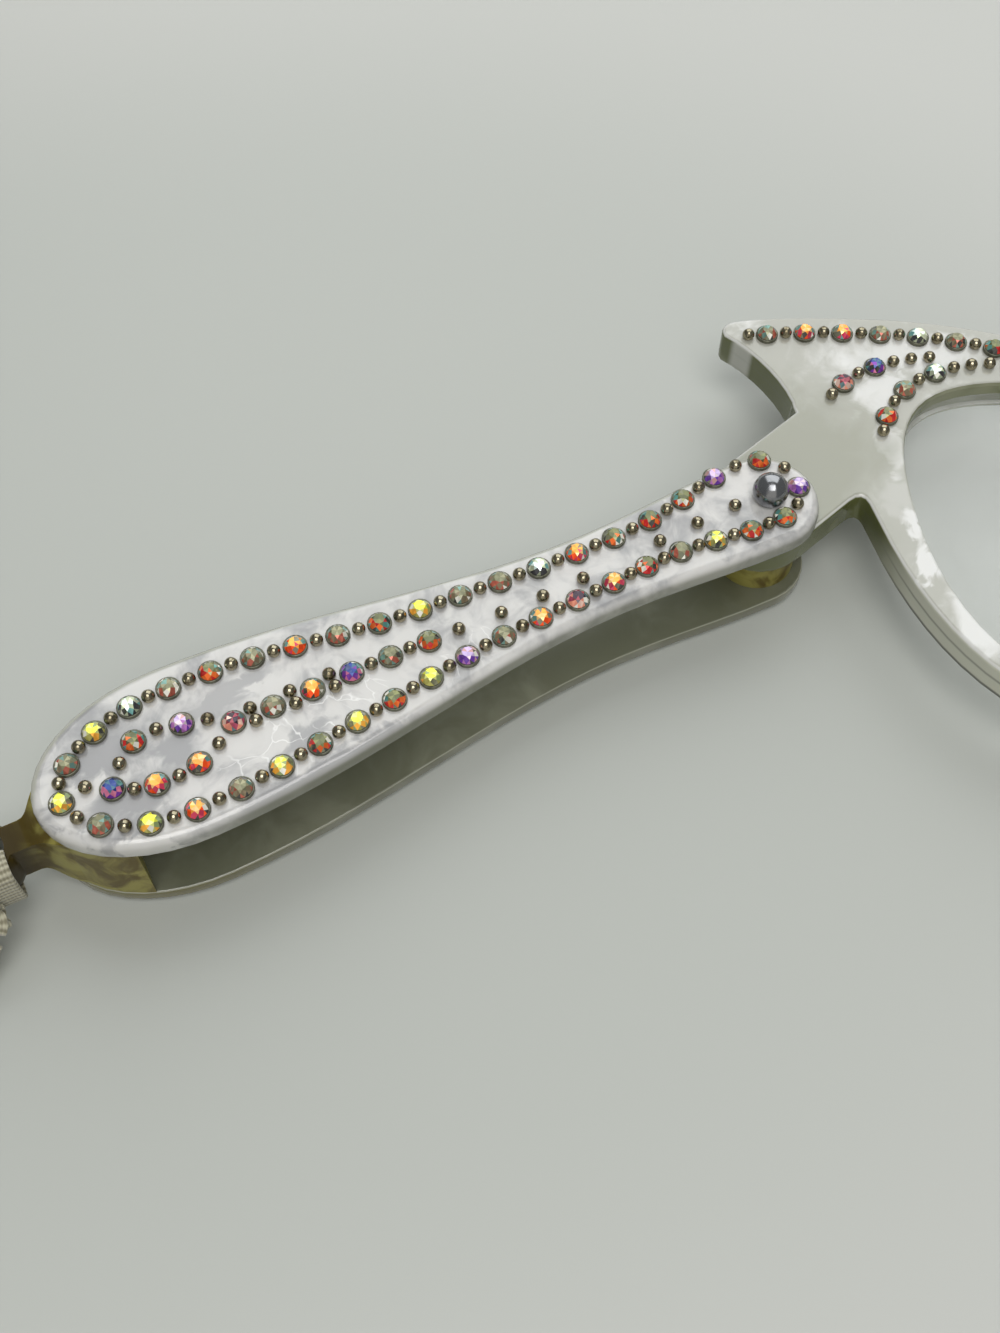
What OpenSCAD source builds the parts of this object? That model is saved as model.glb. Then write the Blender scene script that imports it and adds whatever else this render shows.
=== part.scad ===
// Folding lorgnette: a cat-eye front that folds at its bridge and swings into a two-leaf handle.
// The origin is on the swing pivot, on the face that rests on a table. +Z is up, towards the front
// of the glasses, and the handle lies along -X.

/* [Handle] */
// Distance from the pivot to the handle's far tip
handle_reach = 76.6; // [70:0.1:84]
// Width of the handle at its paddle
paddle_w = 18; // [16:0.1:21]
// Length of the rounded paddle end, from the widest place to the tip
paddle_nose = 14.1; // [11:0.1:17]
// Width of the handle at its waist
waist_w = 9.3; // [8.6:0.1:11]
// Distance from the pivot to the waist
waist_at = 19; // [16:0.5:24]
// Radius of the handle's pivot end
head_r = 5.6; // [5.3:0.1:6.4]
// How far the pivot stands ahead of the centre of that end
head_ahead = 0.5; // [0:0.1:1]
// Thickness of each handle leaf
leaf_t = 2; // [1.6:0.1:3]
// Rounding of the leaves' outer edges
leaf_round = 1.1; // [0.6:0.1:1.3]
// Rounding of the leaves' edges that face the slot
leaf_break = 0.25; // [0.1:0.05:0.4]
// Length of the spacer block between the leaves, from the tip inwards
spacer_len = 6.9; // [5:0.1:8]

/* [Eyelet] */
// Width of the neck that carries the eyelet
neck_w = 3; // [1.8:0.1:3.2]
// Length of the neck, from the handle's tip to the ring
neck_len = 2.6; // [2.4:0.1:4]
// Height of the neck and the ring
neck_t = 5; // [3:0.1:5.6]
// Radius of the eyelet's hole
eyelet_hole_r = 2.2; // [2.1:0.1:2.4]
// Thickness of the eyelet's ring wall
eyelet_wall = 1; // [0.8:0.1:1.4]

/* [Front] */
// Thickness of the sheet that the front is cut from
frame_t = 4; // [3.6:0.1:5]
// Rounding of the front edges
front_round = 0.5; // [0.3:0.05:0.6]
// Rounding of the back edges
back_round = 0.25; // [0.1:0.05:0.4]
// Width of each lens opening
lens_w = 44; // [42:0.5:47]
// Height of each lens opening
lens_h = 38.2; // [36:0.1:41]
// Distance from the pivot to the near lens opening, along the brow
lens_out = 15; // [14:0.1:16]
// Height of the lens opening's top above the pivot
lens_rise = 16.7; // [16:0.1:17.5]
// Width of the bridge between the two lens openings
bridge_w = 16; // [14:0.5:18]
// Height of the bridge
bridge_h = 8.4; // [7.6:0.1:9.5]
// Height of the bridge's upper edge above the pivot
bridge_rise = 13.4; // [12.5:0.1:14.5]
// Width of the rim where it is slimmest
rim_w = 2.5; // [2.1:0.1:3.2]
// How much the rim widens towards the tab
rim_flare = 6.2; // [4:0.1:8]
// Place of the wing's tip from the pivot, along the brow
wing_x = -3; // [-4:0.1:-1]
// Place of the wing's tip from the pivot, across the brow
wing_y = 24.7; // [23.5:0.1:26]
// Angle of the tab from the brow line
tab_turn = 41.6; // [38:0.2:45]
// Width of the tab above the pivot
tab_above = 6.7; // [6.2:0.1:7.2]
// Width of the tab below the pivot
tab_below = 4.9; // [4.5:0.1:5.3]
// Angle between the handle and the brow line when the glasses are open
open_turn = 26.5; // [20:0.5:34]

/* [Lenses] */
// Thickness of a lens at its edge
lens_t = 1.6; // [1.2:0.1:2]
// Depth of the lens below the front face
lens_sink = 1.8; // [1.4:0.1:2.2]
// Depth of the groove that holds the lens
groove = 0.5; // [0.3:0.05:0.8]
// Crown of the lens above its edge
lens_crown = 0.7; // [0.3:0.1:1.2]

/* [Pivot] */
// Radius of the pivot pin
pin_r = 1.2; // [0.9:0.05:1.4]
// Radius of the pin's tail head, sunk in the back leaf
tail_r = 2.4; // [2:0.1:3]
// Thickness of the pin's tail head
tail_t = 0.8; // [0.5:0.05:1]
// How far the tail head lies below the resting face
tail_sink = 0.2; // [0.1:0.05:0.3]
// Radius of the ball on the front
ball_r = 1.8; // [1.5:0.02:1.86]
// Height of the ball's centre above the front leaf
ball_lift = 1.05; // [0.9:0.05:1.15]
// Radius of the pin's tip, inside the ball
tip_r = 0.6; // [0.4:0.05:0.8]
// Radius of the boss between the tab and the back leaf
boss_r = 4.1; // [3.4:0.1:4.6]
// Radius of the two friction washers
washer_r = 3.6; // [3:0.1:4.2]
// Thickness of each friction washer
washer_t = 0.2; // [0.1:0.05:0.3]
// Running clearance of the pins in their bores
run = 0.05; // [0.02:0.01:0.09]

/* [Bridge hinge] */
// Radius of the hinge's knuckles
knuckle_r = 1.1; // [0.9:0.05:1.2]
// Radius of the hinge pin
hinge_pin_r = 0.45; // [0.35:0.05:0.55]
// Number of knuckles
knuckles = 5; // [3:2:7]
// Length of the hinge along the bridge
hinge_h = 6.8; // [5.8:0.1:7.2]
// Reach of each hinge leaf from the fold line
hinge_reach = 5.6; // [4.8:0.1:6.4]
// Thickness of each hinge leaf
hinge_t = 0.6; // [0.4:0.05:0.8]
// Radius of the hinge's rivets
rivet_r = 0.5; // [0.4:0.05:0.6]
// Length of the hinge's rivets
rivet_h = 2.6; // [2:0.1:3]
// Gap between the two halves of the front when it is folded
fold_gap = 0.1; // [0.06:0.01:0.2]
// Gap between the two halves at the bridge when it is open
butt_gap = 0.2; // [0.1:0.02:0.3]

/* [Stones and studs] */
// Radius of a stone
stone_r = 1.2; // [1:0.02:1.24]
// Height of a stone
stone_h = 1.1; // [0.9:0.05:1.4]
// Radius of a stud
stud_r = 0.65; // [0.5:0.01:0.68]
// Height of a stud's centre above the face it sits on
stud_lift = 0.42; // [0.3:0.02:0.5]
// Distance from one stone to the next
stone_pitch = 4.1; // [4:0.05:4.6]
// Distance from one stud to the next where no stone is between them
stud_pitch = 4.4; // [3.9:0.05:4.6]
// Distance of the stones from the handle's edge
row_margin = 2.6; // [2.4:0.05:2.8]
// Distance of the stones from the edge round the pivot
head_margin = 1.75; // [1.6:0.05:2]
// Angle by which the hand-set rows drift from the handle's axis
row_drift = 1.2; // [0:0.1:1.6]
// Distance of the brow stones from the brow's edge
brow_margin = 2.7; // [2.6:0.1:3.2]
// Distance of the lower row of studs from the lens opening
lens_margin = 2.4; // [2.2:0.1:2.7]

/* [Ribbon] */
// Width of the ribbon
ribbon_w = 4; // [3.6:0.1:4.2]
// Thickness of the ribbon
ribbon_t = 0.5; // [0.3:0.05:0.6]
// Number of turns in the put-away coil
coil_turns = 2; // [1:1:3]
// Distance from one turn of the coil to the next
coil_pitch = 2.2; // [1.6:0.1:2.6]

/* [Hidden] */

pearl = [0.93, 0.93, 0.90];
smoke = [0.80, 0.80, 0.78];
amber = [0.62, 0.56, 0.30];
pewter = [0.42, 0.42, 0.45];
brass = [0.60, 0.53, 0.38];
steel = [0.72, 0.72, 0.74];
clear = [0.80, 0.88, 0.90, 0.35];
crystal = [0.80, 0.62, 0.55];
cloth = [0.72, 0.68, 0.55];

// Levels, from the resting face up: back leaf, boss or far half, near half, front leaf.
tab_z = leaf_t + washer_t + frame_t + fold_gap;
front_z = tab_z + frame_t + washer_t;
top_z = front_z + leaf_t;
slot_mid = (leaf_t + front_z) / 2;
boss_z = tab_z - washer_t;

// Places along the handle.
widest = handle_reach - paddle_nose;
slot_end = handle_reach - spacer_len;
ring_r = eyelet_hole_r + eyelet_wall;
ring_x = -(handle_reach + neck_len + ring_r);

// Places on the front, in brow axes: x along the brow, y across it, from the pivot.
bridge_x = lens_out + lens_w + bridge_w / 2;
lens_mid = [lens_out + lens_w * 0.41, lens_rise - lens_h * 0.694];
lens_x1 = lens_out + lens_w;
lens_y0 = lens_rise - lens_h;
bridge_low = bridge_rise - bridge_h;
hinge_y0 = bridge_low + (bridge_h - hinge_h) / 2;
knuckle_h = hinge_h / knuckles;
slip = 0.02;

// Units of the drawing. The offsets in the curves and the rows are multiples of them, so that each
// part keeps its shape when it grows.
front_unit = lens_w / 44;
tab_unit = head_r / 5.6;
handle_unit = handle_reach / 76.6;

function lerp(a, b, t) = a + (b - a) * t;
function ease(t) = (1 - cos(180 * max(0, min(1, t)))) / 2;
function bezier(p, t) = pow(1 - t, 3) * p[0] + 3 * pow(1 - t, 2) * t * p[1]
    + 3 * (1 - t) * t * t * p[2] + t * t * t * p[3];
function curve(p, n) = [for (i = [0:n - 1]) bezier(p, i / n)];
function corner(a, c, b, n) = [for (i = [0:n])
    let (t = i / n) (1 - t) * (1 - t) * a + 2 * (1 - t) * t * c + t * t * b];
function unit(v) = v / norm(v);
function left_of(v) = [-v.y, v.x];
function turned(p, a, c) = let (d = p - c) c + [d.x * cos(a) - d.y * sin(a), d.x * sin(a) + d.y * cos(a)];

// Inward mitre of a closed outline that runs anticlockwise, one vector for each point.
function mitres(p) = [for (i = [0:len(p) - 1])
    let (a = left_of(unit(p[i] - p[(i + len(p) - 1) % len(p)])),
         b = left_of(unit(p[(i + 1) % len(p)] - p[i])))
    (a + b) / (1 + a * b)];
function inset(p, d) = let (m = mitres(p)) [for (i = [0:len(p) - 1]) p[i] + d * m[i]];

// Distance along a path at each of its points, and the point at a distance s.
function lengths(p) = [for (i = 0, s = 0; i < len(p);
    s = s + (i + 1 < len(p) ? norm(p[i + 1] - p[i]) : 0), i = i + 1) s];
function point_at(p, l, s) =
    let (k = max([for (i = [0:len(l) - 2]) if (l[i] <= s) i]))
    lerp(p[k], p[k + 1], (s - l[k]) / (l[k + 1] - l[k]));

// Half width of the handle at x, from the paddle through the waist to the pivot end.
function half_w(x) = x < -waist_at
    ? lerp(paddle_w / 2, waist_w / 2, ease((x + widest) / (widest - waist_at)))
    : lerp(waist_w / 2, head_r, ease((x + waist_at) / (waist_at - head_ahead)));
function side(s, n, a, b) = [for (i = [0:n - 1]) let (x = lerp(a, b, i / n)) [x, s * half_w(x)]];
function leaf_outline() = concat(
    [for (i = [0:9]) [-widest + paddle_nose * cos(180 + 9 * i), paddle_w / 2 * sin(180 + 9 * i)]],
    side(-1, 13, -widest, -waist_at),
    side(-1, 5, -waist_at, -head_ahead),
    [for (i = [0:15]) [-head_ahead + head_r * cos(-90 + 12 * i), head_r * sin(-90 + 12 * i)]],
    [for (i = [1:5]) let (x = lerp(-head_ahead, -waist_at, i / 5)) [x, half_w(x)]],
    [for (i = [1:13]) let (x = lerp(-waist_at, -widest, i / 13)) [x, half_w(x)]],
    [for (i = [1:9]) [-widest + paddle_nose * cos(90 + 9 * i), paddle_w / 2 * sin(90 + 9 * i)]]);

// Opening for a lens: four curves through its left, bottom, right and top points, anticlockwise.
lens_left = [lens_out, lens_rise - lens_h * 0.306];
lens_foot = [lens_out + lens_w * 0.41, lens_y0];
lens_right = [lens_x1, lens_rise - lens_h * 0.4];
lens_head = [lens_out + lens_w * 0.284, lens_rise];
left_curve = [lens_foot, [lens_out + lens_w * 0.148, lens_y0], [lens_out, lens_rise - lens_h * 0.686],
    lens_left];
right_curve = [lens_foot, [lens_out + lens_w * 0.73, lens_y0], [lens_x1, lens_rise - lens_h * 0.7],
    lens_right];
head_curve = [lens_right, [lens_x1, lens_rise - lens_h * 0.21], [lens_out + lens_w * 0.57, lens_rise],
    lens_head];
temple_curve = [lens_head, [lens_out + lens_w * 0.08, lens_rise],
    [lens_out, lens_rise - lens_h * 0.097], lens_left];
function backwards(p) = [p[3], p[2], p[1], p[0]];
function opening() = concat(curve(right_curve, 14), curve(head_curve, 14), curve(temple_curve, 13),
    curve(backwards(left_curve), 14));

// Outer edge of a rim, from the bridge round the bottom to the tab.
function rim_width(t) = rim_w + rim_flare * pow(max(0, t - 0.35), 2);
function outward(p, t) = let (d = unit(bezier(p, t + 0.01) - bezier(p, t - 0.01))) left_of(d);
nose_edge = [for (i = [8:-1:1]) let (t = i / 10) bezier(right_curve, t) - rim_w * outward(right_curve, t)];
low_edge = [for (i = [1:13]) let (t = i / 15) bezier(left_curve, t) + rim_width(t) * outward(left_curve, t)];

// Tab lines: along is the tab's own direction, across points to its upper side.
along = [cos(tab_turn), sin(tab_turn)];
across = [-sin(tab_turn), cos(tab_turn)];
function on_tab(a, c) = a * along + c * across;
rim_last = low_edge[len(low_edge) - 1];
rim_dir = unit(rim_last - low_edge[len(low_edge) - 2]);
crotch_gap = (-tab_below - rim_last * across) / (rim_dir * across);
crotch = rim_last + crotch_gap * rim_dir;
armpit_at = (wing_y - tab_above / across.y) * 0.47;
armpit = on_tab(armpit_at / along.y + 0.5 * front_unit, tab_above);
tip = [wing_x, wing_y];
wing_curve = [tip + front_unit * [0.55, -1.35], tip + front_unit * [3.6, -3.5],
    armpit + front_unit * [-0.3, 3.6], armpit];
brow_out = [for (v = [[1.3, 0.75], [4.1, 1.5], [10.6, 1.7], [19.5, 1.1]]) tip + front_unit * v];
brow_in = [brow_out[3], brow_out[3] + front_unit * [17.5, -1.5], [bridge_x - 15 * front_unit, bridge_rise],
    [bridge_x, bridge_rise]];
bridge_under = [[bridge_x, bridge_low], [bridge_x - 4.6 * front_unit, bridge_low],
    nose_edge[0] + front_unit * [0.1, 4.2], nose_edge[0]];

// The outline of the half that carries the tab runs anticlockwise from the bridge's upper corner.
bridge_end = bridge_x - butt_gap / 2;
function squared(p) = [for (q = p) [min(q.x, bridge_end), q.y]];
function upper_edge() = concat([[bridge_end, bridge_rise]],
    [for (i = [17:-1:1]) bezier(brow_in, i / 18)],
    [for (i = [8:-1:1]) bezier(brow_out, i / 8)],
    corner(brow_out[0], tip, wing_curve[0], 4));
function lower_edge() = concat([for (i = [8:-1:1]) bezier(backwards(bridge_under), i / 8)],
    [[bridge_end, bridge_low]]);
function wing_edge() = [for (i = [1:8]) bezier(wing_curve, i / 8)];
function tab_edge() = let (k = tab_unit, end = on_tab(-5.3 * k, 0.3 * k), foot = on_tab(0.4 * k, -tab_below))
    concat(curve([on_tab(2 * k, tab_above), on_tab(-3 * k, tab_above), on_tab(-5.4 * k, 3.4 * k), end], 7),
        curve([end, on_tab(-5.2 * k, -3 * k), on_tab(-2.8 * k, -tab_below), foot], 6), [foot],
        corner(crotch - 1.9 * k * along, crotch, crotch - 1.7 * k * rim_dir, 4));
function rim_edge() = concat([for (i = [len(low_edge) - 1:-1:0]) low_edge[i]],
    [for (i = [len(nose_edge) - 1:-1:0]) nose_edge[i]]);
function nose_side() = [for (i = [7:-1:1]) bezier(bridge_under, i / 8)];
function near_outline() = concat(upper_edge(), wing_edge(), tab_edge(), rim_edge(), nose_side(),
    [[bridge_end, bridge_low]]);

// The other half has no tab: its wing runs down into the rim in one sweep.
plain_side = [armpit, armpit + front_unit * [1.6, -3.2],
    low_edge[11] + 5 * front_unit * unit(low_edge[12] - low_edge[10]), low_edge[11]];
function far_outline() = concat(upper_edge(), wing_edge(),
    [for (i = [1:7]) bezier(plain_side, i / 8)],
    [for (i = [11:-1:0]) low_edge[i]],
    [for (i = [len(nose_edge) - 1:-1:0]) nose_edge[i]], nose_side(), [[bridge_end, bridge_low]]);

// A solid through outlines that have equal numbers of points, from the bottom ring to the top one.
module loft(rings) {
    n = len(rings[0]);
    m = len(rings);
    polyhedron([for (r = rings) each r], concat(
        [[for (i = [0:n - 1]) i]],
        [for (k = [0:m - 2], i = [0:n - 1]) each
            [[k * n + i, k * n + n + (i + 1) % n, k * n + (i + 1) % n],
             [k * n + i, k * n + n + i, k * n + n + (i + 1) % n]]],
        [[for (i = [n - 1:-1:0]) (m - 1) * n + i]]), convexity = 6);
}

// A plate of thickness t whose lower and upper edges are rounded by low and high. The loft runs
// past both faces, so that a slab cuts it to a flat face on each side.
module plate(outline, t, low, high) {
    m = mitres(outline);
    over = 0.1;
    steps = [[low + 2.45 * over, -over], [low * 0.29, low * 0.29], [0, low], [0, t - high],
        [high * 0.134, t - high * 0.5], [high * 0.5, t - high * 0.134], [high + 1.87 * over, t + over / 2]];
    x = [for (p = outline) p.x];
    y = [for (p = outline) p.y];
    intersection() {
        loft([for (s = steps) [for (i = [0:len(outline) - 1])
            let (p = outline[i] + s[0] * m[i]) [p.x, p.y, s[1]]]]);
        translate([min(x) - 1, min(y) - 1, 0]) cube([max(x) - min(x) + 2, max(y) - min(y) + 2, t]);
    }
}

module leaf(low, high) {
    difference() {
        plate(leaf_outline(), leaf_t, low, high);
        translate([0, 0, -1]) cylinder(h = leaf_t + 2, r = pin_r + run, $fn = 48);
    }
}

module front_leaf() {
    color(pearl) translate([0, 0, front_z]) leaf(leaf_break, leaf_round);
}

module back_leaf() {
    color(smoke) difference() {
        leaf(leaf_round * 0.6, leaf_break);
        translate([0, 0, -1]) cylinder(h = tail_sink + tail_t + 1, r = tail_r + run, $fn = 48);
    }
}

// The spacer keeps the slot open and ends in a neck with an eyelet for the ribbon.
module end_spacer() {
    flush = inset(leaf_outline(), 0.12);
    half = paddle_w / 2 * sqrt(1 - pow((slot_end - widest) / paddle_nose, 2)) - 0.12;
    block = concat([for (p = flush) if (p.x < -slot_end && p.y <= 0) p],
        [[-slot_end, -half], [-slot_end, half]],
        [for (p = flush) if (p.x < -slot_end && p.y > 0) p]);
    k = handle_unit;
    root = -(handle_reach - 2.2 * k);
    waist = -(handle_reach + neck_len * 0.7);
    fillet = [[root, 4.3 * k], [root - 2.4 * k, 2.9 * k], [waist + 1.4 * k, neck_w / 2], [waist, neck_w / 2]];
    neck_upper = concat(curve(fillet, 8), [[waist, neck_w / 2], [ring_x, neck_w / 2]]);
    neck_lower = [for (i = [len(neck_upper) - 1:-1:0]) [neck_upper[i].x, -neck_upper[i].y]];
    step = [[-handle_reach + 1.5 * k, leaf_t], [-handle_reach - 0.6 * k, leaf_t],
        [waist + 1.2 * k, slot_mid - neck_t / 2], [waist, slot_mid - neck_t / 2]];
    under = concat([[root + 4 * k, leaf_t]], curve(step, 8),
        [[waist, slot_mid - neck_t / 2], [ring_x, slot_mid - neck_t / 2]]);
    over = [for (i = [len(under) - 1:-1:0]) [under[i].x, 2 * slot_mid - under[i].y]];
    color(amber) difference() {
        union() {
            translate([0, 0, leaf_t]) linear_extrude(front_z - leaf_t)
                polygon(block);
            intersection() {
                translate([0, 0, leaf_t]) linear_extrude(front_z - leaf_t)
                    polygon(concat(neck_upper, neck_lower));
                rotate([90, 0, 0]) translate([0, 0, -6]) linear_extrude(12) polygon(concat(under, over));
            }
            eyelet();
        }
        translate([ring_x, 0, 0]) cylinder(h = top_z, r = eyelet_hole_r, $fn = 48);
    }
}

module eyelet() {
    bulge = eyelet_wall * 0.4;
    h = neck_t / 2;
    translate([ring_x, 0, slot_mid]) rotate_extrude($fn = 64)
        polygon([[eyelet_hole_r - 0.2, -h], [ring_r - bulge, -h], [ring_r - bulge * 0.3, -h * 0.8],
            [ring_r, -h * 0.45], [ring_r, h * 0.45], [ring_r - bulge * 0.3, h * 0.8],
            [ring_r - bulge, h], [eyelet_hole_r - 0.2, h]]);
}

module pivot_pin() {
    color(steel) translate([0, 0, tail_sink]) {
        cylinder(h = tail_t, r = tail_r, $fn = 48);
        cylinder(h = top_z - tail_sink - 0.1, r = pin_r, $fn = 48);
        cylinder(h = top_z - tail_sink + ball_lift, r = tip_r, $fn = 32);
    }
}

module pivot_ball() {
    color(pewter) difference() {
        translate([0, 0, top_z + ball_lift]) sphere(r = ball_r, $fn = 64);
        translate([-ball_r, -ball_r, top_z - 2 * ball_r]) cube(2 * ball_r);
        translate([0, 0, top_z - 1]) cylinder(h = 1 + ball_lift + slip, r = tip_r + slip, $fn = 32);
    }
}

module ring(h, r) {
    difference() {
        cylinder(h = h, r = r, $fn = 64);
        translate([0, 0, -1]) cylinder(h = h + 2, r = pin_r + run, $fn = 48);
    }
}

module pivot_boss() {
    color(amber) translate([0, 0, leaf_t]) ring(boss_z - leaf_t, boss_r);
}

module rear_washer() {
    color(brass) translate([0, 0, boss_z]) ring(washer_t, washer_r);
}

module front_washer() {
    color(brass) translate([0, 0, tab_z + frame_t]) ring(washer_t, washer_r);
}

// Stones and studs stand on the face at z = 0 at each point.
module stones(points) {
    color(crystal) for (p = points) translate([p.x, p.y, 0]) rotate_extrude($fn = 32)
        polygon([[0, 0], [stone_r * 0.93, 0], [stone_r, stone_h * 0.18], [stone_r, stone_h * 0.34],
            [stone_r * 0.55, stone_h], [0, stone_h]]);
}

module studs(points) {
    color(brass) for (p = points) translate([p.x, p.y, 0]) intersection() {
        translate([0, 0, stud_lift]) sphere(r = stud_r, $fn = 32);
        translate([-stud_r, -stud_r, 0]) cube(2 * stud_r + stud_lift);
    }
}

// The rows were set by hand. They stand a little askew, wander across the handle, and run ahead of
// even spacing or behind it.
drift_at = [-handle_reach / 2, 0];
function hump(x, at, half) = handle_unit * exp(-pow((x / handle_unit - at) / half, 2));
function lower_wander(x) = 0.65 * hump(x, -22, 9) - 0.3 * hump(x, -50, 9);
function middle_wander(x) = 0.8 * hump(x, -24, 13);
function upper_wander(x) = 0.6 * hump(x, -43, 8) + 0.3 * hump(x, -13, 6);
ahead_at = [[0, 0.04], [0.05, 0.18], [0.11, 0.24], [0.2, 0.13], [0.35, 0.03], [0.48, -0.4], [0.5, -0.34],
    [0.55, 0.24], [0.62, 0.32], [0.9, 0.26], [1, 0.04]];
function edge_row() =
    let (p = leaf_outline(), m = mitres(p),
         q = [for (i = [0:len(p) - 1]) p[i]
            + lerp(row_margin, head_margin, ease((p[i].x / handle_unit + 12) / 11)) * m[i]])
    [for (v = concat(q, [q[0]])) let (w = v.y < 0 ? lower_wander(v.x) : upper_wander(v.x))
        turned([v.x, v.y - w], row_drift, drift_at)];
edge_path = edge_row();
edge_len = lengths(edge_path);
edge_total = edge_len[len(edge_len) - 1];
edge_count = round(edge_total / stone_pitch);
function edge_points(phase) = [for (i = [0:edge_count - 1])
    let (k = i + phase)
    point_at(edge_path, edge_len, (k + lookup(k / edge_count, ahead_at)) * edge_total / edge_count)];

// The inner motif is a small oval of stones with a tail that runs along the handle. The real tail
// has no stud at one of its places.
oval_x = -(widest + handle_unit);
oval_stones = handle_unit * [[6.2, 0.15], [1.9, 2.15], [-2.65, 2.45], [-5.95, -1.2], [-2.25, -2.55],
    [1.9, -2.35]];
oval_n = len(oval_stones);
row_n = 5;
tail_pairs = 3;
tail_gap = 4;
pair_gap = 0.72;
row_step = stone_pitch * 0.9634;
row_x = oval_x + 6.1 * handle_unit;
tail_x = row_x + row_n * row_step + 3.05 * handle_unit;
tail_n = floor((-3.4 * handle_unit - tail_x) / stud_pitch) + 1;
function askew(points) = [for (p = points)
    turned([p.x, p.y - middle_wander(p.x)], row_drift * 0.6, drift_at)];
function oval_stud(i) = let (a = oval_stones[i], b = oval_stones[(i + 1) % oval_n])
    [oval_x, 0] + (a + b) / 2 - 0.3 * handle_unit * left_of(unit(b - a));
function inner_stones() = askew(concat(
    [for (c = oval_stones) [oval_x, 0] + c],
    [for (i = [1:row_n]) [row_x + i * row_step, 0]]));
function inner_studs() = askew(concat(
    [for (i = [0:oval_n - 1]) oval_stud(i)],
    [[oval_x - 8.05 * handle_unit, 0]],
    [for (i = [0:tail_pairs - 1], s = [-1, 1]) [row_x + (i + 0.5) * row_step, s * pair_gap]],
    [for (i = [tail_pairs:row_n - 1]) [row_x + (i + 0.5) * row_step, 0]],
    [for (i = [0:tail_n - 1]) if (i != tail_gap) [tail_x + i * stud_pitch, 0]]));

module handle_edge_stones() {
    translate([0, 0, top_z]) stones(edge_points(0));
}

module handle_edge_studs() {
    translate([0, 0, top_z]) studs(edge_points(0.5));
}

module handle_inner_stones() {
    translate([0, 0, top_z]) stones(inner_stones());
}

module handle_inner_studs() {
    translate([0, 0, top_z]) studs(inner_studs());
}

// Brow axes on the back face of the near half; the far half is its mirror image at the bridge.
module near() {
    rotate([0, 0, -open_turn]) translate([0, 0, tab_z]) children();
}

module far() {
    near() translate([2 * bridge_x, 0, 0]) mirror([1, 0, 0]) children();
}

module opening_cut() {
    p = opening();
    m = mitres(p);
    steps = [[back_round + 0.1, -0.1], [0, back_round], [0, frame_t - front_round],
        [front_round * 0.29, frame_t - front_round * 0.29], [front_round + 0.24, frame_t + 0.1]];
    loft([for (s = steps) [for (i = [0:len(p) - 1]) let (q = p[i] - s[0] * m[i]) [q.x, q.y, s[1]]]]);
}

module hinge_place() {
    translate([bridge_x, hinge_y0, -fold_gap / 2]) rotate([-90, 0, 0]) children();
}

rivet_at = [for (s = [0.25, 0.75]) [bridge_x - hinge_reach * 0.62, hinge_y0 + s * hinge_h]];

module rim(outline) {
    difference() {
        plate(outline, frame_t, back_round, front_round);
        opening_cut();
        translate([0, 0, frame_t - lens_sink - lens_t - slip]) linear_extrude(lens_t + 2 * slip)
            polygon(inset(opening(), -groove));
        translate([bridge_x - hinge_reach - slip, hinge_y0 - slip, -1])
            cube([hinge_reach + 2, hinge_h + 2 * slip, hinge_t + slip + 1]);
        translate([0, -1, 0]) hinge_place() cylinder(h = hinge_h + 4, r = knuckle_r + 0.15, $fn = 48);
        for (p = rivet_at) translate([p.x, p.y, -1]) cylinder(h = rivet_h + slip + 1, r = rivet_r + slip, $fn = 24);
    }
}

module near_rim() {
    color(pearl) near() difference() {
        rim(near_outline());
        translate([0, 0, -1]) cylinder(h = frame_t + 2, r = pin_r + run, $fn = 48);
    }
}

module far_rim() {
    color(pearl) far() rim(far_outline());
}

// The lens is flat behind and crowned in front, with a flat edge that sits in the groove.
module lens() {
    edge_z = frame_t - lens_sink;
    reach = norm([lens_w, lens_h]) / 2 * 0.86;
    ball = (reach * reach + lens_crown * lens_crown) / (2 * lens_crown);
    foot = ball - lens_t - 2 * lens_crown;
    middle = [lens_out + lens_w / 2, lens_rise - lens_h / 2];
    color(clear) union() {
        translate([0, 0, edge_z - lens_t]) linear_extrude(lens_t) polygon(inset(opening(), -groove + 0.05));
        intersection() {
            translate([0, 0, edge_z - lens_t / 2]) linear_extrude(lens_t / 2 + lens_crown)
                polygon(inset(opening(), 0.1));
            translate([middle.x, middle.y, edge_z + lens_crown - ball]) rotate_extrude($fn = 96)
                polygon(concat([[0, foot], [reach * 1.2, foot]],
                    [for (i = [8:-1:0]) let (r = reach * 1.2 * i / 8) [r, sqrt(ball * ball - r * r)]]));
        }
    }
}

module near_lens() {
    near() lens();
}

module far_lens() {
    far() lens();
}

// The brow row runs under the brow's edge. Two sprays fan out over the wing and round the lens.
function brow_row() = concat([tip + front_unit * [3.1, -1.6]],
    [for (i = [3:8]) let (t = i / 8) bezier(brow_out, t) + brow_margin * -1 * outward(brow_out, t)],
    [for (i = [1:16]) let (t = i / 18) bezier(brow_in, t) + brow_margin * -1 * outward(brow_in, t)]);
brow_path = brow_row();
brow_len = lengths(brow_path);
brow_total = brow_len[len(brow_len) - 1];
brow_start = stone_pitch / 2;
brow_n = floor((brow_total - brow_start - 2 * front_unit) / stone_pitch) + 1;
function brow_points(phase, n) = [for (i = [0:n - 1])
    point_at(brow_path, brow_len, brow_start + (i + phase) * stone_pitch)];

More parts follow.
